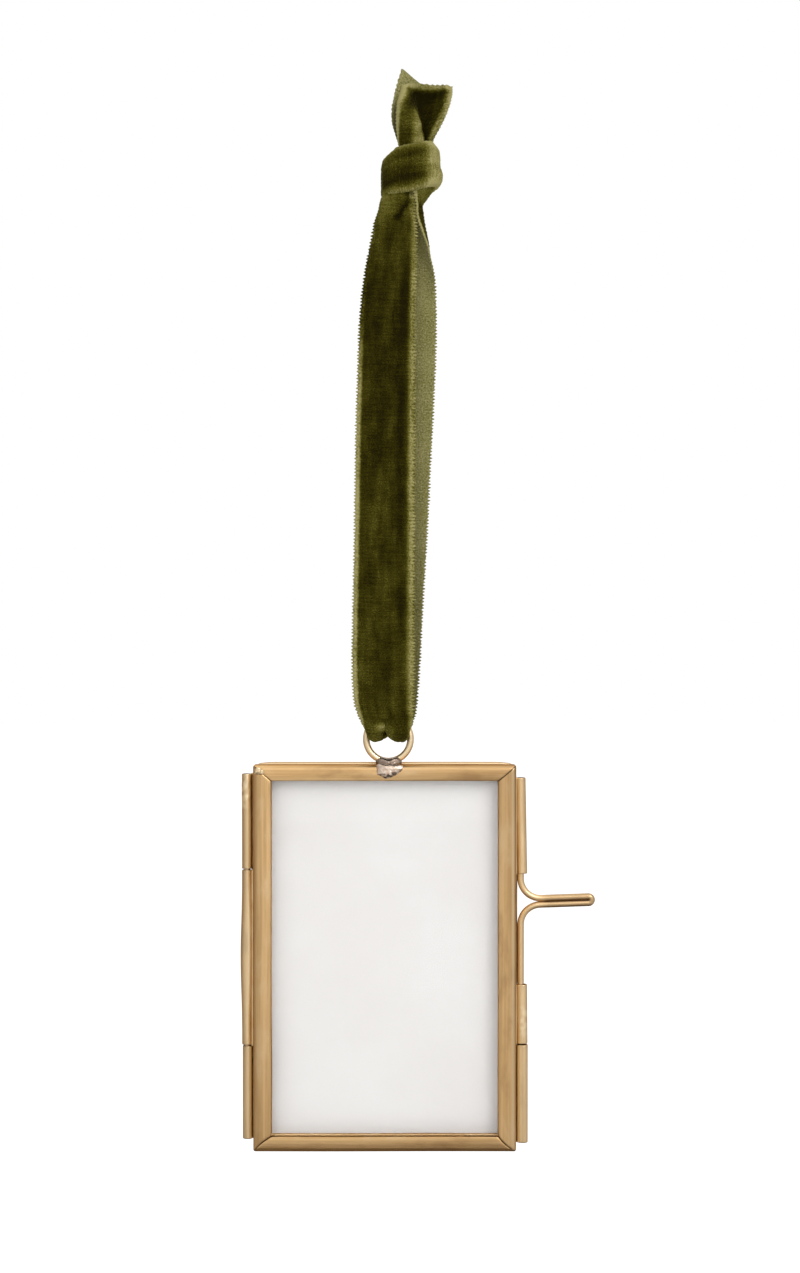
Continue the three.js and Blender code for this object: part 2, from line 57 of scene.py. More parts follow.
# Camera and the size of the view
VIEW_HEIGHT = 261.97
VIEW_CENTER = (0.19, 0.0, -88.46)
VIEW_DISTANCE = 400.0
VIEW_ELEVATION = 0.5
SENSOR = 36.0

# Channels of the two leaves
CHANNEL_WALL = 0.5
SHOULDER_RADIUS = 1.1
LIP_RADIUS = 0.14
BACK_LIP = 0.1
BACK_LIP_START = 1.2
MITRE_GAP = 0.06
FACE_CROWN = 0.08
FRONT_CORNER = 0.4
BACK_CORNER = 1.3
FACE_WAVE = 0.09
SIDE_SWAY = 0.06
CALM_LENGTH = 6.0
END_ROLL = 0.09
ROLL_FADE = 0.16
BURR = 0.36
BURR_FADE = 0.4
BACK_TOP_LIFT = 0.25
LIFT_FADE = 4.0
END_ROWS = np.array([0.0, 0.05, 0.12, 0.22, 0.35, 0.55, 0.8, 1.1, 1.5, 2.0, 2.8, 4.0])
FIRST_EVEN_ROW = 4.6
EVEN_ROWS = 110

# How far the mitres of the front leaf curve out
BOTTOM_LEFT_BULGE = 0.42
BOTTOM_RIGHT_BULGE = -0.4
TOP_RIGHT_BULGE = 0.12

# How much browner and darker the front channels are, at the left or lower end and at the other end: partly
# tarnish, partly painted shade where their reflection is dimmer
TARNISH_AND_SHADE = {
    "front_rail_top": (0.0, 0.35),
    "front_rail_bottom": (0.02, 0.2),
    "front_stile_right": (0.0, 0.25),
    "front_stile_left": (0.08, 0.04),
}

# Tubes of the hinge and of the bolt, and the solder beside them
TUBE_RADIUS = 1.05
BORE_RADIUS = 0.83
TUBE_RIM = 0.1
TUBE_BEVEL = 0.03
# TUBE_SHINE is a pale painted sheen over the outside of every tube
TUBE_SHINE = 0.38
TUBE_SIDES = 40
TUBE_END_ROWS = np.array([0.12, 0.25, 0.6])
FIRST_TUBE_ROW = 1.2
TUBE_ROWS = 46
BORE_ROWS = 12
KEEPER_SWELL = 0.3
GUIDE_SWELL = 0.2
UPPER_GUIDE_LEAN = 0.36
LOWER_GUIDE_LEAN = 0.1
LOW_KNUCKLE_SHIFT = 0.13
BEAD_DEPTH = 0.55
BEAD_OFFSET = 0.75
BEAD_OVERLAP = 0.22
BEAD_OVERRUN = 0.1
TOP_BEAD_SHARE = 0.006
BEAD_SIDES = 16
BEAD_ROWS = 70

# Wire of the bolt, the hinge pin and the ring
WIRE_SIDES = 24
BOLT_RADIUS = 0.68
BOLT_BEND = 4.1
BOLT_REST_GAP = 1.05
BOLT_LEAN = 0.14
HANDLE_SLIT = -0.05
HANDLE_TILT = 2.0
HANDLE_START = 3.0
HANDLE_FULL = 6.0
BEND_POINTS = 17
WIRE_STEP = 0.5
PIN_RADIUS = 0.65
RING_RADIUS = 4.55
RING_WIRE = 0.7
RING_ROWS = 120

# Lumps of solder
LUMP_SIDES = 48
LUMP_ROWS = 27

# Velvet ribbon
RIBBON_HALF = 6.5
PILE_HEIGHT = 0.6
SELVEDGE_HEIGHT = 0.24
GROUND_DEPTH = 0.28
PILE_EDGE = 0.83
STITCH_PITCH = 0.68
STITCH_REACH = 0.42
FLAT_STITCH_REACH = 0.18
FRAY = 0.4
FRAY_FADE = 0.3
TUFT_PITCH = 0.62
PILE_FUZZ = 0.26
CLOTH_SWELL = 0.16
LOOP_COLUMNS = 56
TAIL_COLUMNS = 76
ROW_STEP = 0.14

# Stage
FLOOR_Z = -270.0
FLOOR_HALF = 3000.0
FLOOR_GLOW = 0.62
WORLD_FILL = 0.6
METAL_DIM = 0.95
METAL_BRIGHT = 1.2
METAL_BESIDE = 0.56
BRIGHT_SIDE = (0.6, 0.0, 0.8)
FLAG_BELOW = [(-90, -85, -232), (90, -85, -232), (90, 40, -232), (-90, 40, -232)]
FLAG_LEFT = [(-150, -60, -205), (-150, 90, -205), (-150, 90, -110), (-150, -60, -110)]

# Places of the lamps, in metres, and where they point
KEY_PLACE = (0.45, -0.82, 0.42)
KEY_TARGET = (0.0, 0.0, -0.09)
FILL_PLACE = (-0.15, -1.1, 0.05)
FILL_TARGET = (0.0, 0.0, -0.1)


def linear(*levels):
    """A color for the nodes, from red, green and blue levels up to 255."""
    shares = [level / 255.0 for level in levels]
    return tuple(s / 12.92 if s <= 0.04045 else ((s + 0.055) / 1.055) ** 2.4 for s in shares) + (1.0,)


# Colors
WHITE = (1.0, 1.0, 1.0, 1.0)
GLASS_TINT = (0.995, 1.0, 0.995, 1.0)
FLOOR_SHADE = (0.82, 0.82, 0.81, 1.0)
FLAG_BELOW_SHADE = (0.22, 0.18, 0.14, 1.0)
FLAG_LEFT_SHADE = (0.62, 0.52, 0.42, 1.0)
BRASS_DULL = linear(207, 167, 114)
BRASS_BRIGHT = linear(232, 193, 140)
BRASS_CLOUD = linear(180, 142, 97)
BRASS_PALE = linear(235, 201, 153)
BRASS_SPOT = linear(166, 130, 90)
BRASS_GRIME_AND_SHADE = linear(104, 74, 46)
BRASS_TIN_AND_SHEEN = linear(245, 222, 182)
BRASS_EDGE = linear(160, 116, 76)
SOLDER_DULL = linear(216, 190, 168)
SOLDER_BRIGHT = linear(246, 226, 208)
SOLDER_SPECK = linear(128, 104, 90)
SOLDER_SHADE = linear(92, 76, 66)
CARD_WHITE = linear(248, 244, 243)
CARD_BRIGHT = linear(251, 248, 247)
CARD_EDGE_SHADE = linear(226, 208, 202)
PILE_DEEP = linear(25, 21, 2)
PILE_DARK = linear(55, 50, 5)
PILE_OLIVE = linear(98, 93, 35)
PILE_LIGHT = linear(166, 158, 104)
PILE_SHEEN = linear(196, 189, 84)
GROUND_DULL = linear(134, 129, 70)
GROUND_BRIGHT = linear(152, 146, 90)
GROUND_LIGHT_FUZZ = linear(190, 183, 136)
GROUND_DARK_FUZZ = linear(72, 68, 28)
GROUND_THREAD = linear(92, 88, 46)
GROUND_SHADE = linear(52, 48, 18)


def box_mm(node):
    low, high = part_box(node)
    return np.array(low) / MM, np.array(high) / MM


# Places that come from the CAD nodes. BOLT_GAP is where the bolt's wire lies bare between its guides.
LEAF_LEFT = box_mm("front_stile_left")[0][0]
LEAF_RIGHT = box_mm("front_stile_right")[1][0]
LEAF_TOP = box_mm("front_rail_top")[1][2]
FRONT_FACE = box_mm("front_rail_top")[0][1]
STILE_FACE = np.ptp(box_mm("front_stile_left"), axis=0)[0]
RAIL_FACE = np.ptp(box_mm("front_rail_top"), axis=0)[2]
BOLT_GAP = (box_mm("bolt_guide_lower")[1][2], box_mm("bolt_guide_upper")[0][2])
HINGE_X, TUBE_Y, _ = np.mean(box_mm("hinge_pin"), axis=0)
CLASP_X = box_mm("bolt_keeper")[1][0] - TUBE_RADIUS
RING_CENTER = np.mean(box_mm("hanging_ring"), axis=0)


def smooth_step(low, high, value):
    share = np.clip((np.asarray(value, float) - low) / (high - low), 0.0, 1.0)
    return share * share * (3.0 - 2.0 * share)


def window(value, rise, fall):
    """Goes from 0 to 1 over the first pair of values and back over the second."""
    return smooth_step(*rise, value) * smooth_step(*fall, value)


def peak(value, middle, width):
    return np.exp(-(((value - middle) / width) ** 2))


def grid(*coordinates):
    """Points or vectors from three coordinates that are stretched to one shape."""
    return np.stack(np.broadcast_arrays(*coordinates), axis=-1)


def circle(sides):
    return np.linspace(0.0, 2 * np.pi, sides, endpoint=False)


def unit(vectors):
    return vectors / np.linalg.norm(vectors, axis=-1)[..., None]


def noise_at(points, scale=1.0, seed=0.0):
    points = np.asarray(points, float)
    shift = Vector((seed * 7.3, seed * 3.1, seed * 11.7))
    values = [noise.noise(Vector(p) * scale + shift) for p in points.reshape(-1, 3)]
    return np.array(values).reshape(points.shape[:-1])


def run_along(points):
    """The distance walked from the first point to each point."""
    return np.concatenate([[0.0], np.cumsum(np.linalg.norm(np.diff(points, axis=0), axis=1))])


def through(knots, values, at):
    """Smooth curve through the values, which sit at the knots."""
    knots = np.asarray(knots, float)
    values = np.asarray(values, float)
    slopes = np.gradient(values, knots, axis=0)
    at = np.clip(np.atleast_1d(at), knots[0], knots[-1])
    index = np.clip(np.searchsorted(knots, at, side="right") - 1, 0, len(knots) - 2)
    width = knots[index + 1] - knots[index]
    shape = (len(at),) + (1,) * (values.ndim - 1)
    t = ((at - knots[index]) / width).reshape(shape)
    width = width.reshape(shape)
    square, cube = t * t, t * t * t
    return (
        (2 * cube - 3 * square + 1) * values[index]
        + (cube - 2 * square + t) * (slopes[index] * width)
        + (3 * square - 2 * cube) * values[index + 1]
        + (cube - square) * (slopes[index + 1] * width)
    )


def evenly(points, count):
    """The smooth curve through the points, at places that lie equally far apart."""
    points = np.asarray(points, float)
    steps = np.linalg.norm(np.diff(points, axis=0), axis=1)
    chord = np.concatenate([[0.0], np.cumsum(np.sqrt(steps))])
    fine = through(chord, points, np.linspace(0.0, chord[-1], 40 * len(points)))
    run = run_along(fine)
    places = np.linspace(0.0, run[-1], count)
    return np.stack([np.interp(places, run, fine[:, axis]) for axis in range(3)], axis=1)


def loop_faces(rows, around, caps=True, closed=False):
    """Quads between rows of points, each row closed on itself. closed joins the last row to the first."""
    faces = []
    for row in range(rows if closed else rows - 1):
        here, after = row * around, (row + 1) % rows * around
        for i in range(around):
            beside = (i + 1) % around
            faces.append((here + i, here + beside, after + beside, after + i))
    if caps and not closed:
        faces.append(tuple(range(around)))
        faces.append(tuple((rows - 1) * around + i for i in range(around)))
    return faces


def joined(shells):
    """One set of points and faces from several."""
    faces = []
    start = 0
    for points, shell_faces in shells:
        faces += [tuple(start + i for i in face) for face in shell_faces]
        start += len(points)
    return np.concatenate([points for points, _ in shells]), faces


def make_piece(name, points, faces, materials, sharp):
    mesh = bpy.data.meshes.new(name)
    mesh.from_pydata((np.asarray(points, float).reshape(-1, 3) * MM).tolist(), [], faces)
    shape = bmesh.new()
    shape.from_mesh(mesh)
    bmesh.ops.recalc_face_normals(shape, faces=shape.faces)
    shape.to_mesh(mesh)
    shape.free()
    for material in materials:
        mesh.materials.append(material)
    mesh.polygons.foreach_set("use_smooth", np.ones(len(mesh.polygons), bool))
    mesh.set_sharp_from_angle(angle=math.radians(sharp))
    piece = bpy.data.objects.new(name, mesh)
    bpy.context.scene.collection.objects.link(piece)
    return piece


def set_vectors(piece, name, values):
    layer = piece.data.attributes.new(name, "FLOAT_VECTOR", "POINT")
    layer.data.foreach_set("vector", np.asarray(values, np.float32).ravel())


def set_floats(piece, name, values):
    layer = piece.data.attributes.new(name, "FLOAT", "POINT")
    layer.data.foreach_set("value", np.asarray(values, np.float32).ravel())


def brass_piece(name, body, points, faces, sharp, grain, tin_and_sheen, grime_and_shade, node=None):
    """A piece of brass on a body, which stands for a CAD node if one is named."""
    piece = make_piece(name, points, faces, [brass], sharp)
    set_vectors(piece, "grain", grain)
    set_floats(piece, "tin_and_sheen", np.broadcast_to(tin_and_sheen, grain.shape[:-1]))
    set_floats(piece, "grime_and_shade", np.broadcast_to(grime_and_shade, grain.shape[:-1]))
    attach(piece, body)
    if node:
        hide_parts(node)


# Camera
def add_camera():
    lens = bpy.data.cameras.new("camera")
    lens.sensor_width = SENSOR
    lens.lens = SENSOR * VIEW_DISTANCE / VIEW_HEIGHT
    lens.clip_start = 0.01
    lens.clip_end = 20.0
    camera = bpy.data.objects.new("camera", lens)
    rise = math.radians(VIEW_ELEVATION)
    back = Vector((0.0, -math.cos(rise), math.sin(rise)))
    camera.location = (Vector(VIEW_CENTER) + back * VIEW_DISTANCE) * MM
    camera.rotation_euler = (-back).to_track_quat("-Z", "Y").to_euler()
    bpy.context.scene.collection.objects.link(camera)
    bpy.context.scene.camera = camera


add_camera()


class Nodes:
    """Short calls that build the node tree of a material or of the world."""

    def __init__(self, owner):
        owner.use_nodes = True
        self.owner = owner
        self.tree = owner.node_tree

    def put(self, value, socket):
        if isinstance(value, bpy.types.NodeSocket):
            self.tree.links.new(value, socket)
        else:
            socket.default_value = value

    def node(self, kind, inputs=(), **settings):
        node = self.tree.nodes.new("ShaderNode" + kind)
        for key, value in settings.items():
            setattr(node, key, value)
        for key, value in dict(inputs).items():
            self.put(value, node.inputs[key])
        return node.outputs

    def attribute(self, name, output="Fac"):
        return self.node("Attribute", attribute_name=name)[output]

    def math(self, operation, first, second=0.0):
        return self.node("Math", {0: first, 1: second}, operation=operation)[0]

    def noise(self, vector, scale, detail, roughness, shift=(0.0, 0.0, 0.0)):
        """Noise with a scale for each axis."""
        place = self.node("Mapping", {"Vector": vector, "Scale": scale, "Location": shift})[0]
        inputs = {"Vector": place, "Scale": 1.0, "Detail": detail, "Roughness": roughness}
        return self.node("TexNoise", inputs)["Fac"]

    def range(self, value, low, high, to_low=0.0, to_high=1.0, kind="SMOOTHSTEP"):
        inputs = {"Value": value, "From Min": low, "From Max": high, "To Min": to_low, "To Max": to_high}
        return self.node("MapRange", inputs, interpolation_type=kind)["Result"]

    def mix(self, share, first, second, kind="RGBA"):
        return self.node("Mix", {"Factor": share, "A": first, "B": second}, data_type=kind)["Result"]

    def over(self, color, shade, value, low, high, most=1.0):
        """Lays a shade over a color, more of it as the value goes from low to high."""
        return self.mix(self.range(value, low, high, 0.0, most), color, shade)

    def bump(self, height, strength, distance, normal=None):
        inputs = {"Height": height, "Strength": strength, "Distance": distance * MM}
        if normal is not None:
            inputs["Normal"] = normal
        return self.node("Bump", inputs)["Normal"]

    def finish(self, shader="Principled BSDF", **sockets):
        for key, value in sockets.items():
            self.put(value, self.tree.nodes[shader].inputs[key.replace("_", " ")])
        return self.owner


def material_nodes(name):
    return Nodes(bpy.data.materials.new(name))


# Materials
def brass_material():
    """Aged satin brass. grain is the place in the piece's own frame, with its length along z.

    One float attribute marks where solder has run over it and where a pale sheen is painted, and another
    marks where dirt stays and where shade is painted. The specular tint is the color of its edges.
    """
    nodes = material_nodes("aged_brass")
    grain = nodes.attribute("grain", "Vector")
    streaks = nodes.noise(grain, (1.6, 1.6, 0.03), 3.0, 0.55)
    fine = nodes.noise(grain, (9.0, 9.0, 0.5), 2.0, 0.6)
    cloud = nodes.noise(grain, (0.2, 0.2, 0.07), 4.0, 0.55)
    spots = nodes.noise(grain, (1.1, 1.1, 0.7), 5.0, 0.65, (3.0, 8.0, 5.0))
    color = nodes.over(BRASS_DULL, BRASS_BRIGHT, streaks, 0.3, 0.7)
    color = nodes.over(color, BRASS_CLOUD, cloud, 0.52, 0.72, 0.75)
    color = nodes.over(color, BRASS_PALE, cloud, 0.48, 0.32, 0.7)
    color = nodes.over(color, BRASS_SPOT, spots, 0.64, 0.8, 0.45)
    # Darker where dirt stays and where shade is painted, paler where solder has run and where sheen is
    # painted
    color = nodes.mix(nodes.attribute("grime_and_shade"), color, BRASS_GRIME_AND_SHADE)
    color = nodes.mix(nodes.attribute("tin_and_sheen"), color, BRASS_TIN_AND_SHEEN)
    patches = nodes.math("MULTIPLY", cloud, 0.08)
    rough = nodes.math("ADD", nodes.range(fine, 0.3, 0.7, 0.27, 0.38), patches)
    normal = nodes.bump(fine, 0.12, 0.05)
    normal = nodes.bump(cloud, 0.25, 0.25, normal)
    return nodes.finish(
        Base_Color=color, Metallic=1.0, Roughness=rough, Normal=normal, Specular_Tint=BRASS_EDGE,
    )


def solder_material():
    nodes = material_nodes("solder")
    place = nodes.attribute("grain", "Vector")
    lumps = nodes.noise(place, (1.3, 1.3, 1.3), 3.0, 0.5)
    specks = nodes.noise(place, (4.2, 4.2, 4.2), 4.0, 0.6, (4.0, 1.0, 7.0))
    color = nodes.over(SOLDER_DULL, SOLDER_BRIGHT, lumps, 0.35, 0.65)
    color = nodes.over(color, SOLDER_SPECK, specks, 0.6, 0.75, 0.6)
    # Darker where shade is painted
    color = nodes.mix(nodes.attribute("grime_and_shade"), color, SOLDER_SHADE)
    rough = nodes.range(specks, 0.3, 0.7, 0.24, 0.42)
    normal = nodes.bump(lumps, 0.5, 0.3)
    normal = nodes.bump(specks, 0.35, 0.08, normal)
    return nodes.finish(Base_Color=color, Metallic=1.0, Roughness=rough, Normal=normal)


def glass_material():
    nodes = material_nodes("clear_glass")
    place = nodes.node("TexCoord")["Object"]
    smear = nodes.noise(place, (60.0, 60.0, 60.0), 4.0, 0.6)
    ripple = nodes.noise(place, (35.0, 35.0, 35.0), 1.0, 0.5)
    rough = nodes.range(smear, 0.45, 0.75, 0.01, 0.05)
    normal = nodes.bump(ripple, 0.04, 0.4)
    return nodes.finish(
        Base_Color=GLASS_TINT, Roughness=rough, Normal=normal, Transmission_Weight=1.0, IOR=1.2,
    )


def card_material():
    """White card with a little warm painted shade towards its sides and foot, standing for the frame's
    shadow and the brass's reflected color.
    """
    nodes = material_nodes("white_card")
    place = nodes.node("TexCoord")["Object"]
    fibre = nodes.noise(place, (2600.0, 2600.0, 2600.0), 3.0, 0.6)
    tone = nodes.noise(place, (45.0, 45.0, 45.0), 3.0, 0.5)
    low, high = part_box("insert_card")
    axes = nodes.node("SeparateXYZ", {0: place})
    color = nodes.over(CARD_WHITE, CARD_BRIGHT, tone, 0.35, 0.65)
    # Painted warm shade near the left side, the right side and the foot
    reach = 7.5 * MM
    for axis, start, end in (
        ("X", low[0] + reach, low[0]),
        ("X", high[0] - 1.2 * reach, high[0]),
        ("Z", low[2] + reach, low[2]),
    ):
        color = nodes.over(color, CARD_EDGE_SHADE, axes[axis], start, end, 0.15)
    normal = nodes.bump(fibre, 0.2, 0.03)
    rough = nodes.range(fibre, 0.3, 0.7, 0.75, 0.9)
    return nodes.finish(Base_Color=color, Roughness=rough, Normal=normal)


def pile_material():
    """Velvet. weave holds the place across the ribbon from -1 to 1, and along it in millimetres.

    A float attribute says how light the pile is painted: its nap and selvedges, with painted sheen and
    shade.
    """
    nodes = material_nodes("velvet_pile")
    weave = nodes.attribute("weave", "Vector")
    brushed = nodes.noise(weave, (1.6, 0.055, 0.0), 4.0, 0.6)
    patches = nodes.noise(weave, (2.2, 0.2, 0.0), 3.0, 0.5, (5.0, 2.0, 0.0))
    ribs = nodes.noise(weave, (1.6, 2.6, 0.0), 2.0, 0.5)
    tufts = nodes.noise(weave, (24.0, 4.6, 0.0), 3.0, 0.75)
    level = nodes.attribute("nap_and_painted_light")
    for texture, low, high, darker, lighter in (
        (brushed, 0.3, 0.7, -0.14, 0.14),
        (patches, 0.35, 0.65, -0.06, 0.06),
        (ribs, 0.3, 0.7, -0.06, 0.06),
        (tufts, 0.3, 0.72, -0.2, 0.26),
    ):
        level = nodes.math("ADD", level, nodes.range(texture, low, high, darker, lighter))
    color = nodes.over(PILE_DEEP, PILE_DARK, level, 0.05, 0.36)
    color = nodes.over(color, PILE_OLIVE, level, 0.34, 0.72)
    color = nodes.over(color, PILE_LIGHT, level, 0.66, 1.25)
    normal = nodes.bump(tufts, 0.6, 0.12)
    normal = nodes.bump(ribs, 0.35, 0.1, normal)
    return nodes.finish(
        Base_Color=color, Roughness=0.95, Normal=normal, Specular_IOR_Level=0.05,
        Sheen_Weight=0.5, Sheen_Roughness=0.3, Sheen_Tint=PILE_SHEEN,
    )


def ground_material():
    nodes = material_nodes("velvet_ground")
    weave = nodes.attribute("weave", "Vector")
    inputs = {"Vector": weave, "Scale": 0.95, "Distortion": 0.6, "Detail": 1.0}
    threads = nodes.node("TexWave", inputs, wave_type="BANDS", bands_direction="Y")["Fac"]
    fuzz = nodes.noise(weave, (19.0, 3.0, 0.0), 3.0, 0.7)
    tone = nodes.noise(weave, (1.6, 0.12, 0.0), 3.0, 0.5)
    color = nodes.over(GROUND_DULL, GROUND_BRIGHT, tone, 0.3, 0.7)
    color = nodes.over(color, GROUND_LIGHT_FUZZ, fuzz, 0.48, 0.68, 0.9)
    color = nodes.over(color, GROUND_DARK_FUZZ, fuzz, 0.48, 0.32, 0.8)
    color = nodes.mix(nodes.math("MULTIPLY", threads, 0.3), color, GROUND_THREAD)
    # Painted shade on the woven back
    color = nodes.mix(nodes.attribute("nap_and_painted_light"), GROUND_SHADE, color)
    normal = nodes.bump(threads, 0.45, 0.1)
    normal = nodes.bump(fuzz, 0.4, 0.1, normal)
    return nodes.finish(
        Base_Color=color, Roughness=0.85, Normal=normal, Specular_IOR_Level=0.15,
        Sheen_Weight=0.15, Sheen_Roughness=0.5,
    )


brass = brass_material()
solder = solder_material()
glass = glass_material()
card = card_material()
pile = pile_material()
ground = ground_material()


def arc(center, radius, start, end, steps):
    angles = np.radians(np.linspace(start, end, steps + 1))
    return [(center[0] + radius * math.cos(a), center[1] + radius * math.sin(a)) for a in angles]


# Cross section of a channel: x goes inward from the leaf's outer side, y back from its face
def channel_profile(face, depth):
    lip = LIP_RADIUS
    shoulder = (SHOULDER_RADIUS, SHOULDER_RADIUS)
    outline = arc((lip, depth - lip), lip, 90, 180, 3)
    outline += [(0.0, depth * 0.7), (0.0, depth * 0.5)]
    outline += arc(shoulder, SHOULDER_RADIUS, 180, 270, 10)
    for share in np.linspace(0.0, 1.0, 7)[1:-1]:
        along = SHOULDER_RADIUS + share * (face - lip - SHOULDER_RADIUS)
        outline.append((along, -FACE_CROWN * math.sin(math.pi * share)))
    outline += arc((face - lip, lip), lip, 270, 360, 3)
    outline += [(face, CHANNEL_WALL)]
    outline += arc(shoulder, SHOULDER_RADIUS - CHANNEL_WALL, 270, 180, 5)
    inner_back = depth - CHANNEL_WALL
    slope = CHANNEL_WALL - BACK_LIP
    outline += [(CHANNEL_WALL, inner_back), (face - BACK_LIP_START, inner_back)]
    outline += arc((face - slope, depth - BACK_LIP), slope, 270, 360, 5)
    outline += [(face - 0.03, depth - 0.02), (face - BACK_LIP, depth)]
    return np.array(outline)


# Rows along a channel: close together near its ends
def channel_rows(length):
    middle = np.linspace(FIRST_EVEN_ROW, length - FIRST_EVEN_ROW, EVEN_ROWS)
    return np.concatenate([END_ROWS, middle, (length - END_ROWS)[::-1]])


def channel_form(name, rows, length, face, depth, meeting, foot, bulges, corner, seed):
    """Distance inward, back and along for each row and each point of the section."""
    profile = channel_profile(face, depth)
    inward = np.tile(profile[:, 0], (len(rows), 1))
    back = np.tile(profile[:, 1], (len(rows), 1))
    from_end = np.minimum(rows, length - rows)[:, None]
    cut = inward * meeting / face
    swell = np.sin(np.pi * np.clip(inward / face, 0, 1))
    start = MITRE_GAP / 2 + cut - bulges[0] * swell
    end = length - MITRE_GAP / 2 - cut + bulges[1] * swell
    along = start + rows[:, None] / length * (end - start)
    close = np.clip(corner - np.minimum(along, length - along), 0.0, corner)
    pinch = corner - np.sqrt(np.maximum(corner**2 - close**2, 0.0))
    inward = pinch + inward * (1 - pinch / face)
    roll = END_ROLL * np.exp(-from_end / ROLL_FADE)
    back = back + roll * (back < CHANNEL_WALL) - roll * (back > depth - CHANNEL_WALL)
    wave = noise_at([(0.05 * row, seed, 0.0) for row in rows])[:, None]
    sway = noise_at([(0.04 * row, seed, 9.0) for row in rows])[:, None]
    away_from_ends = smooth_step(0.0, CALM_LENGTH, from_end)
    back = back + FACE_WAVE * wave * away_from_ends
    inward = inward + SIDE_SWAY * sway * away_from_ends
    if name == "back_rail_top":
        lift = BACK_TOP_LIFT * smooth_step(0.0, LIFT_FADE, from_end)
        inward = inward - lift * smooth_step(1.0, 0.4, inward)
    if name == "front_stile_right":
        low, high = BOLT_GAP
        beside_bolt = window(foot + along, (low - BURR_FADE, low), (high + BURR_FADE, high))
        back_edge = smooth_step(depth - 1.0, depth - 0.2, back) * (inward < 0.3)
        inward = inward - BURR * beside_bolt * back_edge
    return inward, back, along


def channel_wear_and_painted_light(name, rows, length, face, depth, upright, inward, back):
    """Where a channel is painted paler as painted light, and where it is darker: its mitre ends, tarnish,
    and painted shade.
    """
    front = name.startswith("front")
    share = rows[:, None] / length
    from_end = np.minimum(rows, length - rows)[:, None]
    wall = 0.8 * CHANNEL_WALL
    # Painted shade inside the channel, and a little along its inner edge
    inside = (back > wall) & (back < depth - wall) & (inward > wall)
    inner_edge = 0.15 * smooth_step(face - 0.3, face, inward)
    ends = 0.45 * np.exp(-from_end / 0.12)
    # Painted shade in the seam at the back edge, where the two leaves meet
    shaded_seam = 0.1 if upright else 0.6 * front
    shaded_seam = shaded_seam * smooth_step(depth - 0.4, depth - 0.1, back) * (inward < 0.2)
    first, last = TARNISH_AND_SHADE.get(name, (0.0, 0.0))
    tarnish_and_shade = first + share * (last - first)
    # The uprights get more painted shade towards their outer shoulders
    if upright:
        tarnish_and_shade = tarnish_and_shade + 0.16 * smooth_step(2.4, 1.0, inward)
    grime_and_shade = np.clip(inner_edge + 0.2 * inside + ends + shaded_seam + tarnish_and_shade, 0, 1)
    # Painted light: the outer walls of the front uprights and of the back leaf's top rail are painted paler
    outer_wall = (inward < 0.25) & (back > 0.8 * SHOULDER_RADIUS)
    tin_and_sheen = (0.7 if name == "back_rail_top" else 0.85 * upright * front) * outer_wall
    # Painted highlight along the right stile's outer shoulder
    if name == "front_stile_right":
        tin_and_sheen = tin_and_sheen + 0.4 * peak(inward, 0.65, 0.28) * (back < SHOULDER_RADIUS)
    return tin_and_sheen, grime_and_shade


def channel_piece(name, bulges, corner, seed):
    """One mitred channel of a leaf. bulges are how far its cut runs out at its two ends."""
    leaf, kind, side = name.split("_")
    upright = kind == "stile"
    low, high = box_mm(name)
    axis = 0 if upright else 2
    face, depth, length = (high - low)[[axis, 1, 2 - axis]]
    meeting = RAIL_FACE if upright else STILE_FACE
    rows = channel_rows(length)
    inward, back, along = channel_form(
        name, rows, length, face, depth, meeting, low[2], bulges, corner, seed
    )
    tin_and_sheen, grime_and_shade = channel_wear_and_painted_light(name, rows, length, face, depth, upright, inward, back)
    across = high[axis] - inward if side in ("right", "top") else low[axis] + inward
    deep = back + low[1] if leaf == "front" else high[1] - back
    lengthwise = low[2 - axis] + along
    points = grid(across, deep, lengthwise) if upright else grid(lengthwise, deep, across)
    grain = grid(inward + 5 * seed, back, along + 40 * seed)
    faces = loop_faces(*inward.shape)
    brass_piece(name + "_channel", leaf + "_leaf", points, faces, 50, grain, tin_and_sheen, grime_and_shade, name)


def add_leaves():
    steeper = RAIL_FACE / STILE_FACE
    for leaf, corner, curved, shift in (("front", FRONT_CORNER, 1.0, 0), ("back", BACK_CORNER, 0.0, 4)):
        bottom_left = curved * BOTTOM_LEFT_BULGE
        bottom_right = curved * BOTTOM_RIGHT_BULGE
        top_right = curved * TOP_RIGHT_BULGE
        right = (-bottom_right * steeper, -top_right * steeper)
        channel_piece(leaf + "_rail_bottom", (bottom_left, bottom_right), corner, 1 + shift)
        channel_piece(leaf + "_rail_top", (0.0, top_right), corner, 2 + shift)
        channel_piece(leaf + "_stile_left", (-bottom_left * steeper, 0.0), corner, 3 + shift)
        channel_piece(leaf + "_stile_right", right, corner, 4 + shift)


add_leaves()


# How a tube's outer skin differs from a round one, by the angle round it and the height in it
def side_swell(angle, rise, length, size=0.0):
    return size * smooth_step(0.0, 0.9, np.cos(angle))


def front_share(angle):
    return smooth_step(-0.2, 0.7, -np.sin(angle))


def lumpy(angle, rise, seed):
    return noise_at(grid(np.cos(angle), np.sin(angle), 0.9 * rise), 1.2, seed)


def middle_swell(angle, rise, length):
    share = rise / length
    bow = 0.3 * np.sin(np.pi * np.clip(share, 0, 1)) ** 3 * smooth_step(0.0, 0.9, -np.cos(angle))
    fat = 0.22 * window(share, (0.12, 0.5), (1.0, 0.6))
    return bow + fat * smooth_step(0.0, 0.8, np.cos(angle)) * front_share(angle)


def top_swell(angle, rise, length):
    strip = smooth_step(0.2, 0.9, -np.sin(angle + 0.25))
    upper = window(rise / length, (0.58, 0.66), (1.02, 0.9))
    return upper * strip * (0.1 + 0.16 * lumpy(angle, rise, 5.0))


# How much solder has run over a tube, with a pale painted sheen over every tube
def plain_sheen(angle, rise, length):
    return np.full_like(angle, TUBE_SHINE)


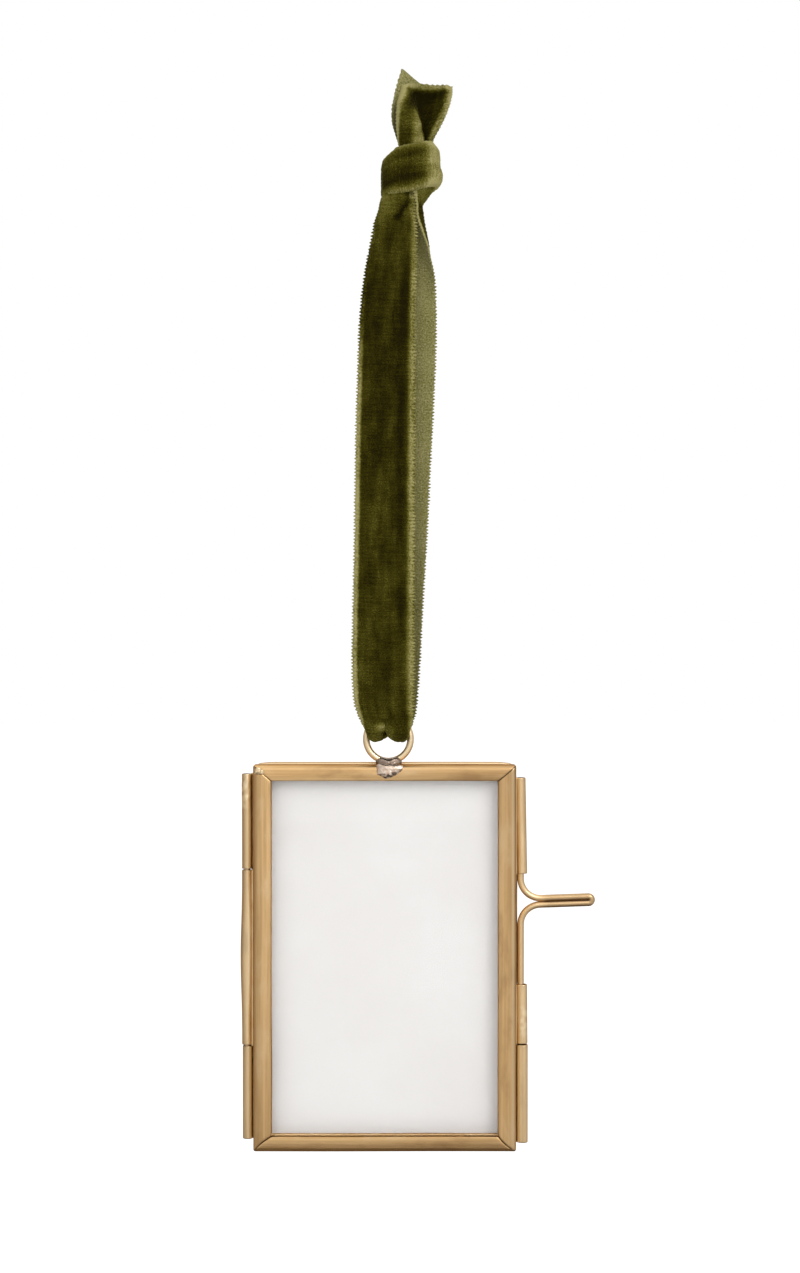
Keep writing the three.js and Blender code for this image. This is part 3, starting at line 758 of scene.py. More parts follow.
def top_tin_and_sheen(angle, rise, length):
    upper = smooth_step(0.58, 0.66, rise / length)
    return np.maximum(upper * np.clip(0.75 + lumpy(angle, rise, 2.0), 0, 1), TUBE_SHINE)


def lower_tin_and_sheen(angle, rise, length):
    run = window(rise / length, (0.05, 0.12), (0.75, 0.55)) * front_share(angle)
    return np.maximum(run * np.clip(0.7 + lumpy(angle, rise, 3.0), 0, 1), TUBE_SHINE)


# Radius and height round a tube's wall: up its outside and down its bore
def tube_profile(length):
    middle = np.linspace(FIRST_TUBE_ROW, length - FIRST_TUBE_ROW, TUBE_ROWS)
    heights = np.concatenate([TUBE_END_ROWS, middle, length - TUBE_END_ROWS[::-1]])
    rim, bevel = TUBE_RADIUS - TUBE_RIM, TUBE_RADIUS - TUBE_BEVEL
    profile = [(rim, 0.0), (bevel, TUBE_BEVEL)]
    profile += [(TUBE_RADIUS, height) for height in heights]
    profile += [(bevel, length - TUBE_BEVEL), (rim, length), (BORE_RADIUS, length - 0.02)]
    profile += [(BORE_RADIUS, height) for height in np.linspace(length - 1.0, 1.0, BORE_ROWS)]
    return np.array(profile + [(BORE_RADIUS, 0.02)])


def tube_piece(node, body, axis_x, lean, swell, tin_and_sheen, seed):
    """A tube with open ends. lean tips its foot sideways, and swell moves its outer skin, not its bore."""
    low, high = box_mm(node)
    length = high[2] - low[2]
    profile = tube_profile(length)
    angle, radius = np.meshgrid(circle(TUBE_SIDES), profile[:, 0], indexing="ij")
    rise = np.broadcast_to(profile[:, 1], angle.shape)
    outside = radius > BORE_RADIUS + 0.04
    radius = radius + outside * swell(angle, rise, length)
    middle = axis_x + lean * (0.5 - rise / length)
    points = grid(middle + radius * np.cos(angle), TUBE_Y + radius * np.sin(angle), low[2] + rise)
    grain = grid(radius * angle, radius + 3 * seed, rise + 17 * seed)
    to_leaf = -math.copysign(1.0, axis_x)
    towards_leaf = to_leaf * np.cos(angle)
    # Painted light on the side towards the leaf
    lit_near_leaf = 0.6 * smooth_step(-0.1, 0.6, towards_leaf)
    solder_and_sheen = np.clip(tin_and_sheen(angle, rise, length) + lit_near_leaf, 0, 1) * outside
    ends = 0.5 * np.exp(-np.minimum(rise, length - rise) / 0.25)
    # Painted shade on the hinge tubes' side away from the leaf, and down the bore
    shaded_outer_side = 0.35 * (to_leaf > 0) * smooth_step(0.0, 0.6, -towards_leaf)
    grime_and_shade = np.clip(ends + shaded_outer_side + 0.8 * ~outside, 0, 1)
    faces = loop_faces(*angle.shape, closed=True)
    brass_piece(node + "_tube", body, points, faces, 50, grain, solder_and_sheen, grime_and_shade, node)


def bead_piece(name, node, body, seed):
    """Solder between a tube and its leaf: a long lumpy bead. The top one starts a little lower."""
    low, high = box_mm(node)
    length = high[2] - low[2]
    on_hinge = node.startswith("hinge")
    to_leaf = 1 if on_hinge else -1
    to_back = 1 if body == "back_leaf" else -1
    axis_x, leaf_x = (HINGE_X, LEAF_LEFT) if on_hinge else (CLASP_X, LEAF_RIGHT)
    standoff = abs(leaf_x - axis_x) - TUBE_RADIUS
    lower = TOP_BEAD_SHARE * length if node == "hinge_knuckle_top" else 0.0
    rows = np.linspace(-lower - BEAD_OVERRUN, length + BEAD_OVERRUN, BEAD_ROWS)[:, None]
    share = (rows - rows[0]) / (rows[-1] - rows[0])
    taper = np.maximum(np.sin(np.pi * share), 0.0) ** 0.25
    uneven = 1.0 + 0.3 * noise_at([(0.35 * row, seed, 0.0) for row in rows[:, 0]])[:, None]
    turn = circle(BEAD_SIDES)
    wide = (standoff / 2 + BEAD_OVERLAP) * np.cos(turn)
    deep = BEAD_DEPTH * np.sin(turn) * (0.75 + 0.25 * taper) * uneven
    points = grid(
        axis_x + to_leaf * (TUBE_RADIUS + standoff / 2 + wide),
        TUBE_Y + to_back * (BEAD_OFFSET + deep),
        low[2] + rows,
    )
    tin_and_sheen = 0.3 + 0.4 * noise_at(points, 0.4, seed)
    brass_piece(name, body, points, loop_faces(len(rows), BEAD_SIDES), 60, points, tin_and_sheen, 0.05)


# Each tube with its leaf, the bead of solder beside it, its axis, lean, swell, and its solder with painted
# sheen
TUBES = [
    ("hinge_knuckle_top", "back_leaf", "hinge_solder_top", HINGE_X, 0.0, top_swell, top_tin_and_sheen),
    ("hinge_knuckle_middle", "front_leaf", "hinge_solder_middle", HINGE_X, 0.0, middle_swell, plain_sheen),
    ("hinge_knuckle_bottom", "back_leaf", "hinge_solder_bottom", HINGE_X + LOW_KNUCKLE_SHIFT, 0.0,
     side_swell, plain_sheen),
    ("bolt_guide_upper", "front_leaf", "guide_solder_upper", CLASP_X, UPPER_GUIDE_LEAN,
     side_swell, plain_sheen),
    ("bolt_guide_lower", "front_leaf", "guide_solder_lower", CLASP_X, LOWER_GUIDE_LEAN,
     partial(side_swell, size=GUIDE_SWELL), lower_tin_and_sheen),
    ("bolt_keeper", "back_leaf", "keeper_solder", CLASP_X, 0.0,
     partial(side_swell, size=KEEPER_SWELL), plain_sheen),
]
for seed, (node, body, _, *shape) in enumerate(TUBES, 1):
    tube_piece(node, body, *shape, seed)
for seed, (node, body, bead, *_) in enumerate(TUBES, 1):
    bead_piece(bead, node, body, seed)


def wire_piece(name, node, body, path, radius):
    """Round wire along a path in the XZ plane. Its handle is darker, with painted shade in the slit and
    underneath.
    """
    turn = circle(WIRE_SIDES)
    tangent = unit(np.gradient(path, axis=0))
    across = np.stack([tangent[:, 2], np.zeros(len(path)), -tangent[:, 0]], axis=1)
    deep = np.array([0.0, 1.0, 0.0])
    spoke = np.cos(turn)[None, :, None] * across[:, None, :] + np.sin(turn)[None, :, None] * deep
    points = path[:, None, :] + np.asarray(radius).reshape(-1, 1, 1) * spoke
    grain = grid(np.cos(turn), np.sin(turn), run_along(path)[:, None])
    handle = smooth_step(CLASP_X + HANDLE_START, CLASP_X + HANDLE_FULL, path[:, 0])[:, None]
    # Painted shade in the slit between the handle's wires and on their undersides
    slit = 0.3 * smooth_step(0.3, 0.9, np.cos(turn))
    under = 0.5 * smooth_step(0.2, 0.6, path[:, None, 2] - points[..., 2])
    grime_and_shade = np.clip(0.06 + handle * (0.38 + slit + under), 0, 1)
    faces = loop_faces(len(path), WIRE_SIDES)
    brass_piece(name, body, points, faces, 60, grain, 0.35 - 0.15 * handle, grime_and_shade, node)


def rounded_path(corners):
    """Points along straight runs and round bends, from (point, bend radius) corners."""
    route = [np.array(corners[0][0], float)]
    for (before, _), (at, radius), (after, _) in zip(corners, corners[1:], corners[2:]):
        before, at, after = (np.array(p, float) for p in (before, at, after))
        into = unit(at - before)
        out_of = unit(after - at)
        turn = math.acos(max(-1.0, min(1.0, float(into @ out_of))))
        center = at + unit(out_of - into) * radius / math.cos(turn / 2)
        spoke = at - into * radius * math.tan(turn / 2) - center
        for angle in np.linspace(0, turn, BEND_POINTS):
            route.append(center + spoke * math.cos(angle) + into * radius * math.sin(angle))
    route.append(np.array(corners[-1][0], float))
    dense = [route[0]]
    for point in route[1:]:
        begin = dense[-1]
        gap = np.linalg.norm(point - begin)
        if gap < 1e-4:
            continue
        pieces = max(int(gap / WIRE_STEP), 1)
        dense += [begin + (point - begin) * (i + 1) / pieces for i in range(pieces)]
    return np.array(dense)


def bolt_path():
    low, high = box_mm("clasp_bolt")
    tilt = math.radians(HANDLE_TILT)
    along = np.array([math.cos(tilt), 0.0, math.sin(tilt)])
    down = np.array([along[2], 0.0, -along[0]])
    spread = 2 * BOLT_RADIUS + HANDLE_SLIT
    bend_length = BOLT_BEND * math.tan(math.radians(90 + HANDLE_TILT) / 2)
    wire_x = CLASP_X - BOLT_LEAN
    upper = np.array([wire_x, TUBE_Y, BOLT_GAP[1] - BOLT_REST_GAP - bend_length])
    upper_tip = upper + along * ((high[0] - wire_x - BOLT_RADIUS) / along[0])
    lower_tip = upper_tip + down * spread
    lower = lower_tip - along * ((lower_tip[0] - wire_x) / along[0])
    return rounded_path([
        ((wire_x, TUBE_Y, high[2]), 0),
        (upper, BOLT_BEND),
        (upper_tip, spread / 2),
        (lower_tip, spread / 2),
        (lower, BOLT_BEND),
        ((wire_x, TUBE_Y, low[2]), 0),
    ])


def add_hinge_pin():
    low, high = box_mm("hinge_pin")
    tip = np.array([0, 0.08, 0.2, 0.35])
    tip_radius = np.array([0.35, 0.52, 0.62, PIN_RADIUS])
    middle = np.linspace(low[2] + 2, high[2] - 2, 20)
    heights = np.concatenate([low[2] + tip, middle, high[2] - tip[::-1]])
    radii = np.concatenate([tip_radius, np.full(len(middle), PIN_RADIUS), tip_radius[::-1]])
    wire_piece("hinge_pin_wire", "hinge_pin", "back_leaf", grid(HINGE_X, TUBE_Y, heights), radii)


def add_ring():
    turn = circle(RING_ROWS)[:, None]
    section = circle(WIRE_SIDES)
    reach = RING_RADIUS + RING_WIRE * np.cos(section)
    points = RING_CENTER + grid(np.cos(turn) * reach, RING_WIRE * np.sin(section), np.sin(turn) * reach)
    grain = grid(np.cos(section), np.sin(section), turn * RING_RADIUS)
    # The wire is painted pale almost all over, a solder color that partly stands for its bright highlight,
    # and paler still at its soldered foot
    tin_and_sheen = 0.9 + 0.1 * smooth_step(-0.72, -0.9, np.sin(turn))
    faces = loop_faces(RING_ROWS, WIRE_SIDES, closed=True)
    brass_piece("hanging_ring_wire", "front_leaf", points, faces, 60, grain, tin_and_sheen, 0.0, "hanging_ring")


wire_piece("clasp_bolt_wire", "clasp_bolt", "bolt", bolt_path(), BOLT_RADIUS)
add_hinge_pin()
add_ring()


# Cross sections of the velvet ribbon, each from its left edge to its right edge
def flat_section(height, left, right, depth, bow):
    """A nearly straight section. bow is how far its middle stands in front of its edges."""
    share = np.linspace(-1.0, 1.0, 7)
    across = left + (right - left) * (share + 1) / 2
    return [(x, depth - bow * (1 - s * s), height) for x, s in zip(across, share)]


def level_section(height, points):
    return [(x, y, height) for x, y in points]


# Front strand, from the knot down: gathered sections by height, with a crease that runs down to the left
FRONT_GATHER = [
    (5.8, [(-1.8, -0.8), (-1.8, -1.8), (-0.9, -2.5), (0.2, -2.5), (0.9, -1.6), (1.6, -1.9), (2.4, -2.1)]),
    (2.9, [(-2.3, -0.8), (-2.1, -1.8), (-1.2, -2.8), (0.2, -2.9), (1.3, -2.4), (1.9, -1.7), (2.8, -2.3)]),
    (0.6, [(-3.6, -1.6), (-3.2, -2.7), (-1.9, -3.4), (0.6, -3.4), (1.4, -2.6), (1.8, -1.3), (2.2, -2.4),
           (3.0, -2.7)]),
    (-1.7, [(-4.2, -2.4), (-3.5, -3.4), (-1.8, -3.9), (-0.5, -3.7), (0.2, -2.8), (0.6, -1.7), (1.1, -2.9),
            (3.2, -3.2)]),
    (-3.5, [(-4.8, -2.7), (-4.0, -3.5), (-2.0, -4.0), (-0.7, -3.8), (0.2, -3.5), (1.6, -3.6), (3.3, -3.3)]),
]

# The rest of the front strand: height, left and right edge, depth and bow
FRONT_ROWS = [
    (-5.2, -5.1, 3.4, -3.35, 0.62),
    (-7.9, -5.6, 3.4, -3.5, 0.55),
    (-14.4, -6.8, 3.3, -3.9, 0.45),
    (-20.9, -7.6, 3.1, -4.3, 0.4),
    (-34.0, -8.2, 3.1, -4.7, 0.35),
    (-47.1, -8.6, 3.1, -5.0, 0.3),
    (-60.2, -8.8, 3.0, -4.9, 0.25),
    (-73.3, -9.0, 3.0, -4.6, 0.2),
    (-86.4, -9.3, 3.0, -4.2, 0.2),
    (-92.9, -9.4, 3.0, -4.0, 0.25),
    (-98.6, -9.25, 2.95, -3.9, 0.3),
    (-102.2, -8.9, 2.95, -3.9, 0.3),
]

# The turn through the ring: sideways place and distance from the ring's top, at a few angles round it
FOLD = [
    (-90, [(-5.8, 3.4), (-4.6, 3.8), (-3.0, 4.0), (-1.5, 4.0), (-0.3, 3.9), (1.0, 4.0), (2.4, 4.1),
           (3.9, 3.9), (5.1, 3.5)]),
    (-62, [(-5.2, 3.2), (-4.7, 4.0), (-3.3, 4.6), (-1.8, 4.5), (-1.0, 4.1), (-0.6, 3.2), (-0.1, 4.2),
           (0.6, 4.9), (1.8, 5.0), (3.2, 4.8), (4.3, 4.2), (4.7, 3.4)]),
    (-35, [(-4.4, 2.9), (-4.3, 3.7), (-3.3, 4.7), (-2.1, 4.5), (-1.4, 3.2), (-0.7, 2.5), (0.0, 2.9),
           (0.5, 4.4), (1.4, 5.0), (2.6, 5.0), (3.6, 4.5), (4.1, 3.6), (3.9, 2.9)]),
    (0, [(-3.6, 2.8), (-3.9, 3.5), (-3.0, 4.55), (-1.8, 4.4), (0.2, 3.4), (1.7, 4.3), (3.1, 4.6),
         (3.9, 3.7), (3.6, 2.8)]),
    (35, [(-4.2, 2.7), (-4.2, 3.5), (-3.1, 4.4), (-1.7, 4.3), (0.1, 3.6), (1.8, 4.3), (3.3, 4.5),
          (4.2, 3.6), (4.2, 2.7)]),
    (62, [(-5.0, 3.0), (-4.7, 3.8), (-3.2, 4.4), (-1.4, 4.2), (0.0, 3.8), (1.4, 4.2), (3.0, 4.4),
          (4.3, 4.0), (4.7, 3.2)]),
    (90, [(-5.9, 3.4), (-5.0, 3.8), (-3.0, 4.0), (-1.2, 3.9), (0.2, 3.7), (1.6, 3.9), (3.2, 4.1),
          (4.6, 3.9), (5.3, 3.5)]),
]

# Back strand, from the ring up, and then its gathered sections, whose right edge curls to the front
BACK_ROWS = [
    (-99.0, -8.6, 3.8, 3.9, -0.3),
    (-92.9, -8.4, 4.2, 4.0, -0.25),
    (-79.8, -7.7, 4.9, 4.5, -0.2),
    (-66.7, -6.9, 5.7, 4.9, -0.25),
    (-53.7, -6.2, 6.3, 5.0, -0.3),
    (-40.6, -5.4, 7.0, 4.9, -0.35),
    (-27.5, -4.6, 7.5, 4.5, -0.4),
    (-19.9, -4.3, 7.5, 4.2, -0.4),
]
BACK_GATHER = [
    (-12.6, [(-3.6, 3.4), (-1.2, 3.9), (1.2, 4.1), (3.6, 4.0), (5.4, 3.5), (6.6, 2.6), (7.0, 1.9)]),
    (-9.0, [(-3.2, 3.0), (-1.0, 3.8), (1.3, 4.1), (3.4, 3.8), (5.0, 3.0), (5.9, 1.7), (6.0, 0.6)]),
    (-4.8, [(-2.6, 2.4), (-0.6, 3.4), (1.5, 3.8), (3.4, 3.2), (4.7, 2.1), (5.1, 0.8), (4.6, -0.5)]),
    (-1.7, [(-1.9, 1.9), (-0.2, 2.9), (1.5, 3.2), (3.2, 2.6), (4.2, 1.4), (4.4, 0.0), (3.6, -1.3)]),
    (0.1, [(-1.3, 1.7), (0.1, 2.5), (1.6, 2.8), (3.0, 2.2), (3.9, 1.0), (4.2, -0.4), (3.5, -1.7)]),
    (1.7, [(-0.8, 1.5), (0.6, 2.5), (2.4, 2.8), (4.0, 2.0), (5.0, 0.7), (5.3, -0.9), (4.3, -2.2),
           (3.2, -2.6)]),
    (3.0, [(-0.5, 1.3), (1.0, 2.4), (3.2, 2.6), (5.2, 1.8), (6.3, 0.3), (6.2, -1.4), (4.8, -2.8),
           (3.0, -3.2)]),
    (4.4, [(-0.2, 1.2), (1.2, 2.1), (3.6, 2.4), (6.0, 1.6), (7.2, 0.2), (6.6, -1.6), (5.0, -2.6),
           (3.0, -2.8)]),
    (7.3, [(0.0, 1.0), (1.2, 1.8), (2.6, 2.0), (4.2, 1.4), (5.4, 0.0), (4.6, -1.4), (2.8, -2.0)]),
]

# The end in front shows its pile, folded into a trough, and is listed from its cut down
FRONT_TAIL = [
    [(0.5, -3.4, 22.5), (1.0, -3.8, 23.4), (2.2, -3.0, 24.1), (4.2, -1.3, 24.5), (6.8, -0.5, 24.5),
     (9.2, -1.3, 24.1), (10.8, -2.6, 23.6)],
    [(0.1, -3.6, 21.7), (0.7, -4.1, 22.0), (1.3, -3.8, 22.3), (1.8, -2.6, 22.3), (2.7, -1.2, 22.3),
     (4.3, 0.0, 22.3), (6.8, 0.2, 22.3), (8.8, -0.9, 22.3), (10.0, -2.4, 22.2), (10.75, -3.0, 22.1)],
    level_section(20.0, [
        (-0.4, -3.5), (0.3, -4.2), (1.1, -4.1), (1.7, -3.0), (2.5, -2.0), (3.4, -0.6), (5.0, 0.3),
        (6.8, 0.2), (8.4, -1.1), (9.6, -2.5), (10.3, -3.0)]),
    level_section(17.8, [
        (-0.6, -3.5), (0.1, -4.2), (1.0, -4.5), (2.0, -4.1), (3.1, -3.2), (3.5, -1.2), (4.3, 0.4),
        (6.0, 0.3), (7.8, -1.2), (8.8, -2.5), (9.5, -2.9)]),
    level_section(15.6, [
        (-0.6, -3.2), (0.2, -4.1), (1.3, -4.6), (2.7, -4.5), (3.8, -3.7), (4.0, -1.6), (4.5, 0.2),
        (5.6, -0.1), (6.8, -1.4), (7.7, -2.3), (8.4, -2.5)]),
    level_section(13.3, [
        (-0.3, -2.2), (0.5, -3.2), (1.7, -3.8), (3.1, -3.8), (4.3, -3.1), (4.6, -1.5), (4.9, -0.6),
        (5.7, -0.9), (6.5, -1.7), (7.1, -2.0)]),
    level_section(8.8, [
        (0.8, -0.6), (1.2, -1.6), (2.2, -2.2), (3.2, -2.2), (3.9, -1.6), (4.2, -0.8), (4.6, -0.5),
        (5.2, -1.0), (5.6, -1.4)]),
]

# The end behind shows its back and is listed from the knot up
BACK_TAIL = [
    level_section(9.0, [(0.6, 0.6), (1.4, 1.5), (2.8, 1.8), (4.2, 1.6), (5.4, 0.9)]),
    level_section(12.8, [(-0.1, 0.2), (1.0, 1.6), (2.8, 2.1), (4.6, 2.0), (6.2, 1.2)]),
    [(-1.1, 0.2, 15.9), (0.4, 1.7, 15.8), (2.6, 2.4, 15.7), (5.0, 2.3, 15.6), (7.2, 1.6, 15.5)],
    [(-1.5, 0.4, 18.7), (0.2, 1.9, 18.6), (2.6, 2.6, 18.3), (5.3, 2.6, 17.8), (8.0, 2.0, 17.4)],
    [(-1.3, 0.8, 21.2), (0.5, 2.2, 20.8), (3.2, 2.8, 20.2), (6.0, 2.8, 19.5), (8.8, 2.4, 18.9)],
    [(-0.5, 1.3, 24.7), (1.6, 2.5, 23.9), (4.2, 2.9, 22.9), (6.8, 2.9, 21.7), (9.4, 2.6, 20.7)],
    [(0.6, 1.6, 28.5), (2.6, 2.6, 27.1), (4.9, 2.9, 25.4), (7.4, 2.9, 23.4), (9.9, 2.7, 21.8)],
]

# Knot: a band that goes round the gathered ribbon a little more than once, from one angle to the other
KNOT_CENTER = 2.35
KNOT_HALF_WIDTH = 5.1
KNOT_HALF_DEPTH = 4.0
KNOT_SQUARE = 0.68
KNOT_START = -276
KNOT_LAP_END = -240
KNOT_END = 96
KNOT_ROWS = 94

# The knot's lower and upper edge, by sideways place
KNOT_FOOT = [
    (-3.8, 1.5), (-1.4, 2.0), (0.2, 2.4), (2.2, 2.7), (4.3, 3.2), (6.3, 3.6), (7.8, 4.1), (9.0, 5.4),
]
KNOT_TOP = [
    (-3.8, 7.8), (-3.0, 8.8), (-1.4, 9.9), (-0.4, 10.6), (1.2, 11.0), (5.3, 11.9), (6.8, 12.0), (9.0, 10.4),
]

# The knot's section: how far it stands out, and the share of its height
KNOT_SECTION = [
    (-1.0, 0.2), (-0.7, 0.05), (-0.15, 0.01), (0.3, 0.08), (0.38, 0.25), (0.4, 0.5), (0.34, 0.76),
    (0.16, 0.93), (-0.3, 1.0), (-0.8, 0.95), (-1.1, 0.84),
]

# Where painted shade runs along the crease under the knot, and a painted light patch in the fold, by
# sideways place and height
CREASE_TOP = (1.8, 0.2)
CREASE_END = (-0.4, -3.1)
PATCH_LEFT = (-4.1, -106.8)
PATCH_RIGHT = (-3.1, -106.4)


def squared(value):
    """A sine or cosine, made fuller so that its circle becomes a rounded square."""
    return math.copysign(abs(value) ** KNOT_SQUARE, value)


def knot_sections():
    sections = []
    for degrees in np.linspace(KNOT_START, KNOT_END, KNOT_ROWS):
        sideways = squared(math.cos(math.radians(degrees)))
        deep = squared(math.sin(math.radians(degrees)))
        x = KNOT_CENTER + (KNOT_HALF_WIDTH + 0.3) * sideways
        foot = np.interp(x, *zip(*KNOT_FOOT))
        top = np.interp(x, *zip(*KNOT_TOP))
        bulge = 0.75 * peak(degrees, -20, 30)
        lap = 0.8 * smooth_step(KNOT_LAP_END, KNOT_START, degrees)
        section = []
        for out, share in KNOT_SECTION:
            grow = out - lap + bulge * peak(share, 0.2, 0.2) * (out > -0.4)
            section.append((
                KNOT_CENTER + (KNOT_HALF_WIDTH + grow) * sideways,
                (KNOT_HALF_DEPTH + grow) * deep,
                foot + share * (top - foot),
            ))
        sections.append(section)
    return sections


def fold_section(degrees, points):
    angle = math.radians(degrees)
    x, y, z = RING_CENTER + np.array([0.0, 0.0, RING_RADIUS])
    return [(x + shift, y + reach * math.sin(angle), z - reach * math.cos(angle)) for shift, reach in points]


def loop_sections():
    sections = [level_section(*row) for row in FRONT_GATHER]
    sections += [flat_section(*row) for row in FRONT_ROWS]
    sections += [fold_section(*row) for row in FOLD]
    sections += [flat_section(*row) for row in BACK_ROWS]
    return sections + [level_section(*row) for row in BACK_GATHER]


def strip_surface(sections, columns):
    """Rows of points on the middle of the cloth, one row step apart, and the cloth's length."""
    rows = np.stack([evenly(section, columns) for section in sections])
    run = run_along(rows.mean(axis=1))
    count = int(run[-1] / ROW_STEP) + 1
    return through(run, rows, np.linspace(0.0, run[-1], count)), run[-1]


def strip_faces(rows, columns):
    """Faces of a strip with two skins, and for each face 0 for pile and 1 for the woven ground."""
    around = 2 * columns
    faces = loop_faces(rows, around, caps=False)
    kinds = [0 if i < columns - 1 else 1 for _ in range(rows - 1) for i in range(around)]
    last = (rows - 1) * around
    for i in range(columns - 1):
        faces.append((i, i + 1, around - 2 - i, around - 1 - i))
        faces.append((last + i, last + around - 1 - i, last + around - 2 - i, last + i + 1))
        kinds += [1, 1]
    return faces, kinds


def blurred(values, reach):
    """Average over the neighbours on both sides, along rows and then columns."""
    for axis in (0, 1):
        pad = [(reach, reach) if a == axis else (0, 0) for a in (0, 1)]
        wide = np.pad(values, pad, mode="edge")
        count = values.shape[axis]
        shifted = [np.take(wide, np.arange(s, s + count), axis=axis) for s in range(2 * reach + 1)]
        values = sum(shifted) / len(shifted)
    return values


def bending(surface, normal):
    """How sharply the cloth bends away from its pile side, per millimetre."""
    total = np.zeros(surface.shape[:2])
    for axis in (0, 1):
        step = np.gradient(surface, axis=axis)
        size = np.linalg.norm(step, axis=2)[..., None] + 1e-9
        total -= (np.gradient(step / size, axis=axis) / size * normal).sum(axis=2)
    return blurred(total, 3)


def strip_shell(sections, columns, seed, lightness, beads, frayed=0.0):
    """A strip of cloth with pile on one side: points, faces, kinds of face, weave places and painted
    lightness, for its nap, selvedges, painted sheen and shade.

    The pile is on the side that the way along the strip, crossed with left to right, points to.
    """
    surface, length = strip_surface(sections, columns)
    rows = len(surface)
    share = np.linspace(-1.0, 1.0, columns)
    place = np.linspace(0.0, length, rows)[:, None]
    across = unit(np.gradient(surface, axis=1))
    normal = unit(np.cross(np.gradient(surface, axis=0), across))
    bend = bending(surface, normal)
    edge = np.abs(share)
    rounding = np.sqrt(1 - 0.96 * smooth_step(0.93, 1.0, edge) ** 2)
    raised = smooth_step(PILE_EDGE + 0.08, PILE_EDGE - 0.08, edge)
    height = (SELVEDGE_HEIGHT + (PILE_HEIGHT - SELVEDGE_HEIGHT) * raised) * rounding
    cloth = grid(place, RIBBON_HALF * share, 9.0 * seed)
    fuzz = noise_at(cloth, 2.6)
    swell = noise_at(cloth, 0.25, 4.0)
    stitch = 0.5 + 0.5 * np.cos(2 * np.pi * place / STITCH_PITCH) + 0.6 * fuzz[:, :1]
    band = smooth_step(0.9, 1.0, edge) * np.sign(share)
    surface = surface + across * (beads * band * stitch)[..., None]
    surface = surface + normal * (CLOTH_SWELL * swell)[..., None]
    front = surface + normal * (height * (1 + PILE_FUZZ * fuzz))[..., None]
    back = surface - normal * (GROUND_DEPTH * rounding)[:, None]
    tuft = frayed * np.abs(np.sin(RIBBON_HALF * share / TUFT_PITCH * np.pi / 2))
    fall = np.exp(-place / FRAY_FADE) * (tuft * (0.6 + 0.8 * np.abs(fuzz[0])))
    front[..., 2] += fall
    back[..., 2] += 0.7 * fall
    # Painted sheen where the cloth bends out and painted shade where it bends into a hollow
    nap_and_painted_light = lightness(surface, share, place, length) + np.clip(0.18 * bend, -0.42, 0.4)
    nap_and_painted_light = nap_and_painted_light + (0.3 * fuzz + 0.06 * (stitch - 0.5)) * smooth_step(0.76, 0.86, edge)
    nap_and_painted_light = nap_and_painted_light + 0.3 * (stitch - 0.5) * smooth_step(0.93, 0.98, edge)
    # The woven back gets its own painted shade
    nap_and_painted_light = np.concatenate([nap_and_painted_light, ground_light(surface)[:, ::-1]], axis=1)
    weave = grid(share, place + 60.0 * seed, 0.0)
    weave = np.concatenate([weave, weave[:, ::-1]], axis=1)
    points = np.concatenate([front, back[:, ::-1]], axis=1)
    faces, kinds = strip_faces(rows, columns)
    return points.reshape(-1, 3), faces, kinds, weave.reshape(-1, 3), nap_and_painted_light.ravel()


def line_distance(surface, first, last):
    """Distance from a line between two places, in the front view."""
    first, last = np.array(first), np.array(last)
    here = surface[..., [0, 2]] - first
    run = last - first
    share = np.clip((here @ run) / (run @ run), 0.0, 1.0)
    return np.linalg.norm(here - share[..., None] * run, axis=-1)


def ground_light(surface):
    """Painted shade on the woven back: darker in the fold, by the front strand and under the front end."""
    x, height = surface[..., 0], surface[..., 2]
    fold = 0.3 * smooth_step(-50.0, -100.0, height)
    covered = 0.25 * window(height, (9.0, 12.0), (22.5, 19.0))
    front_edge = np.interp(height, *zip(*[section[0][::-2] for section in FRONT_TAIL[::-1]]))
    shaded = 0.5 * smooth_step(0.8, 0.2, front_edge - x) * window(height, (10.0, 13.0), (23.0, 21.5))
    beside_front = 0.2 * smooth_step(5.4, 3.4, x) * smooth_step(-8.0, -14.0, height)
    return 1.0 - fold - covered - shaded - beside_front


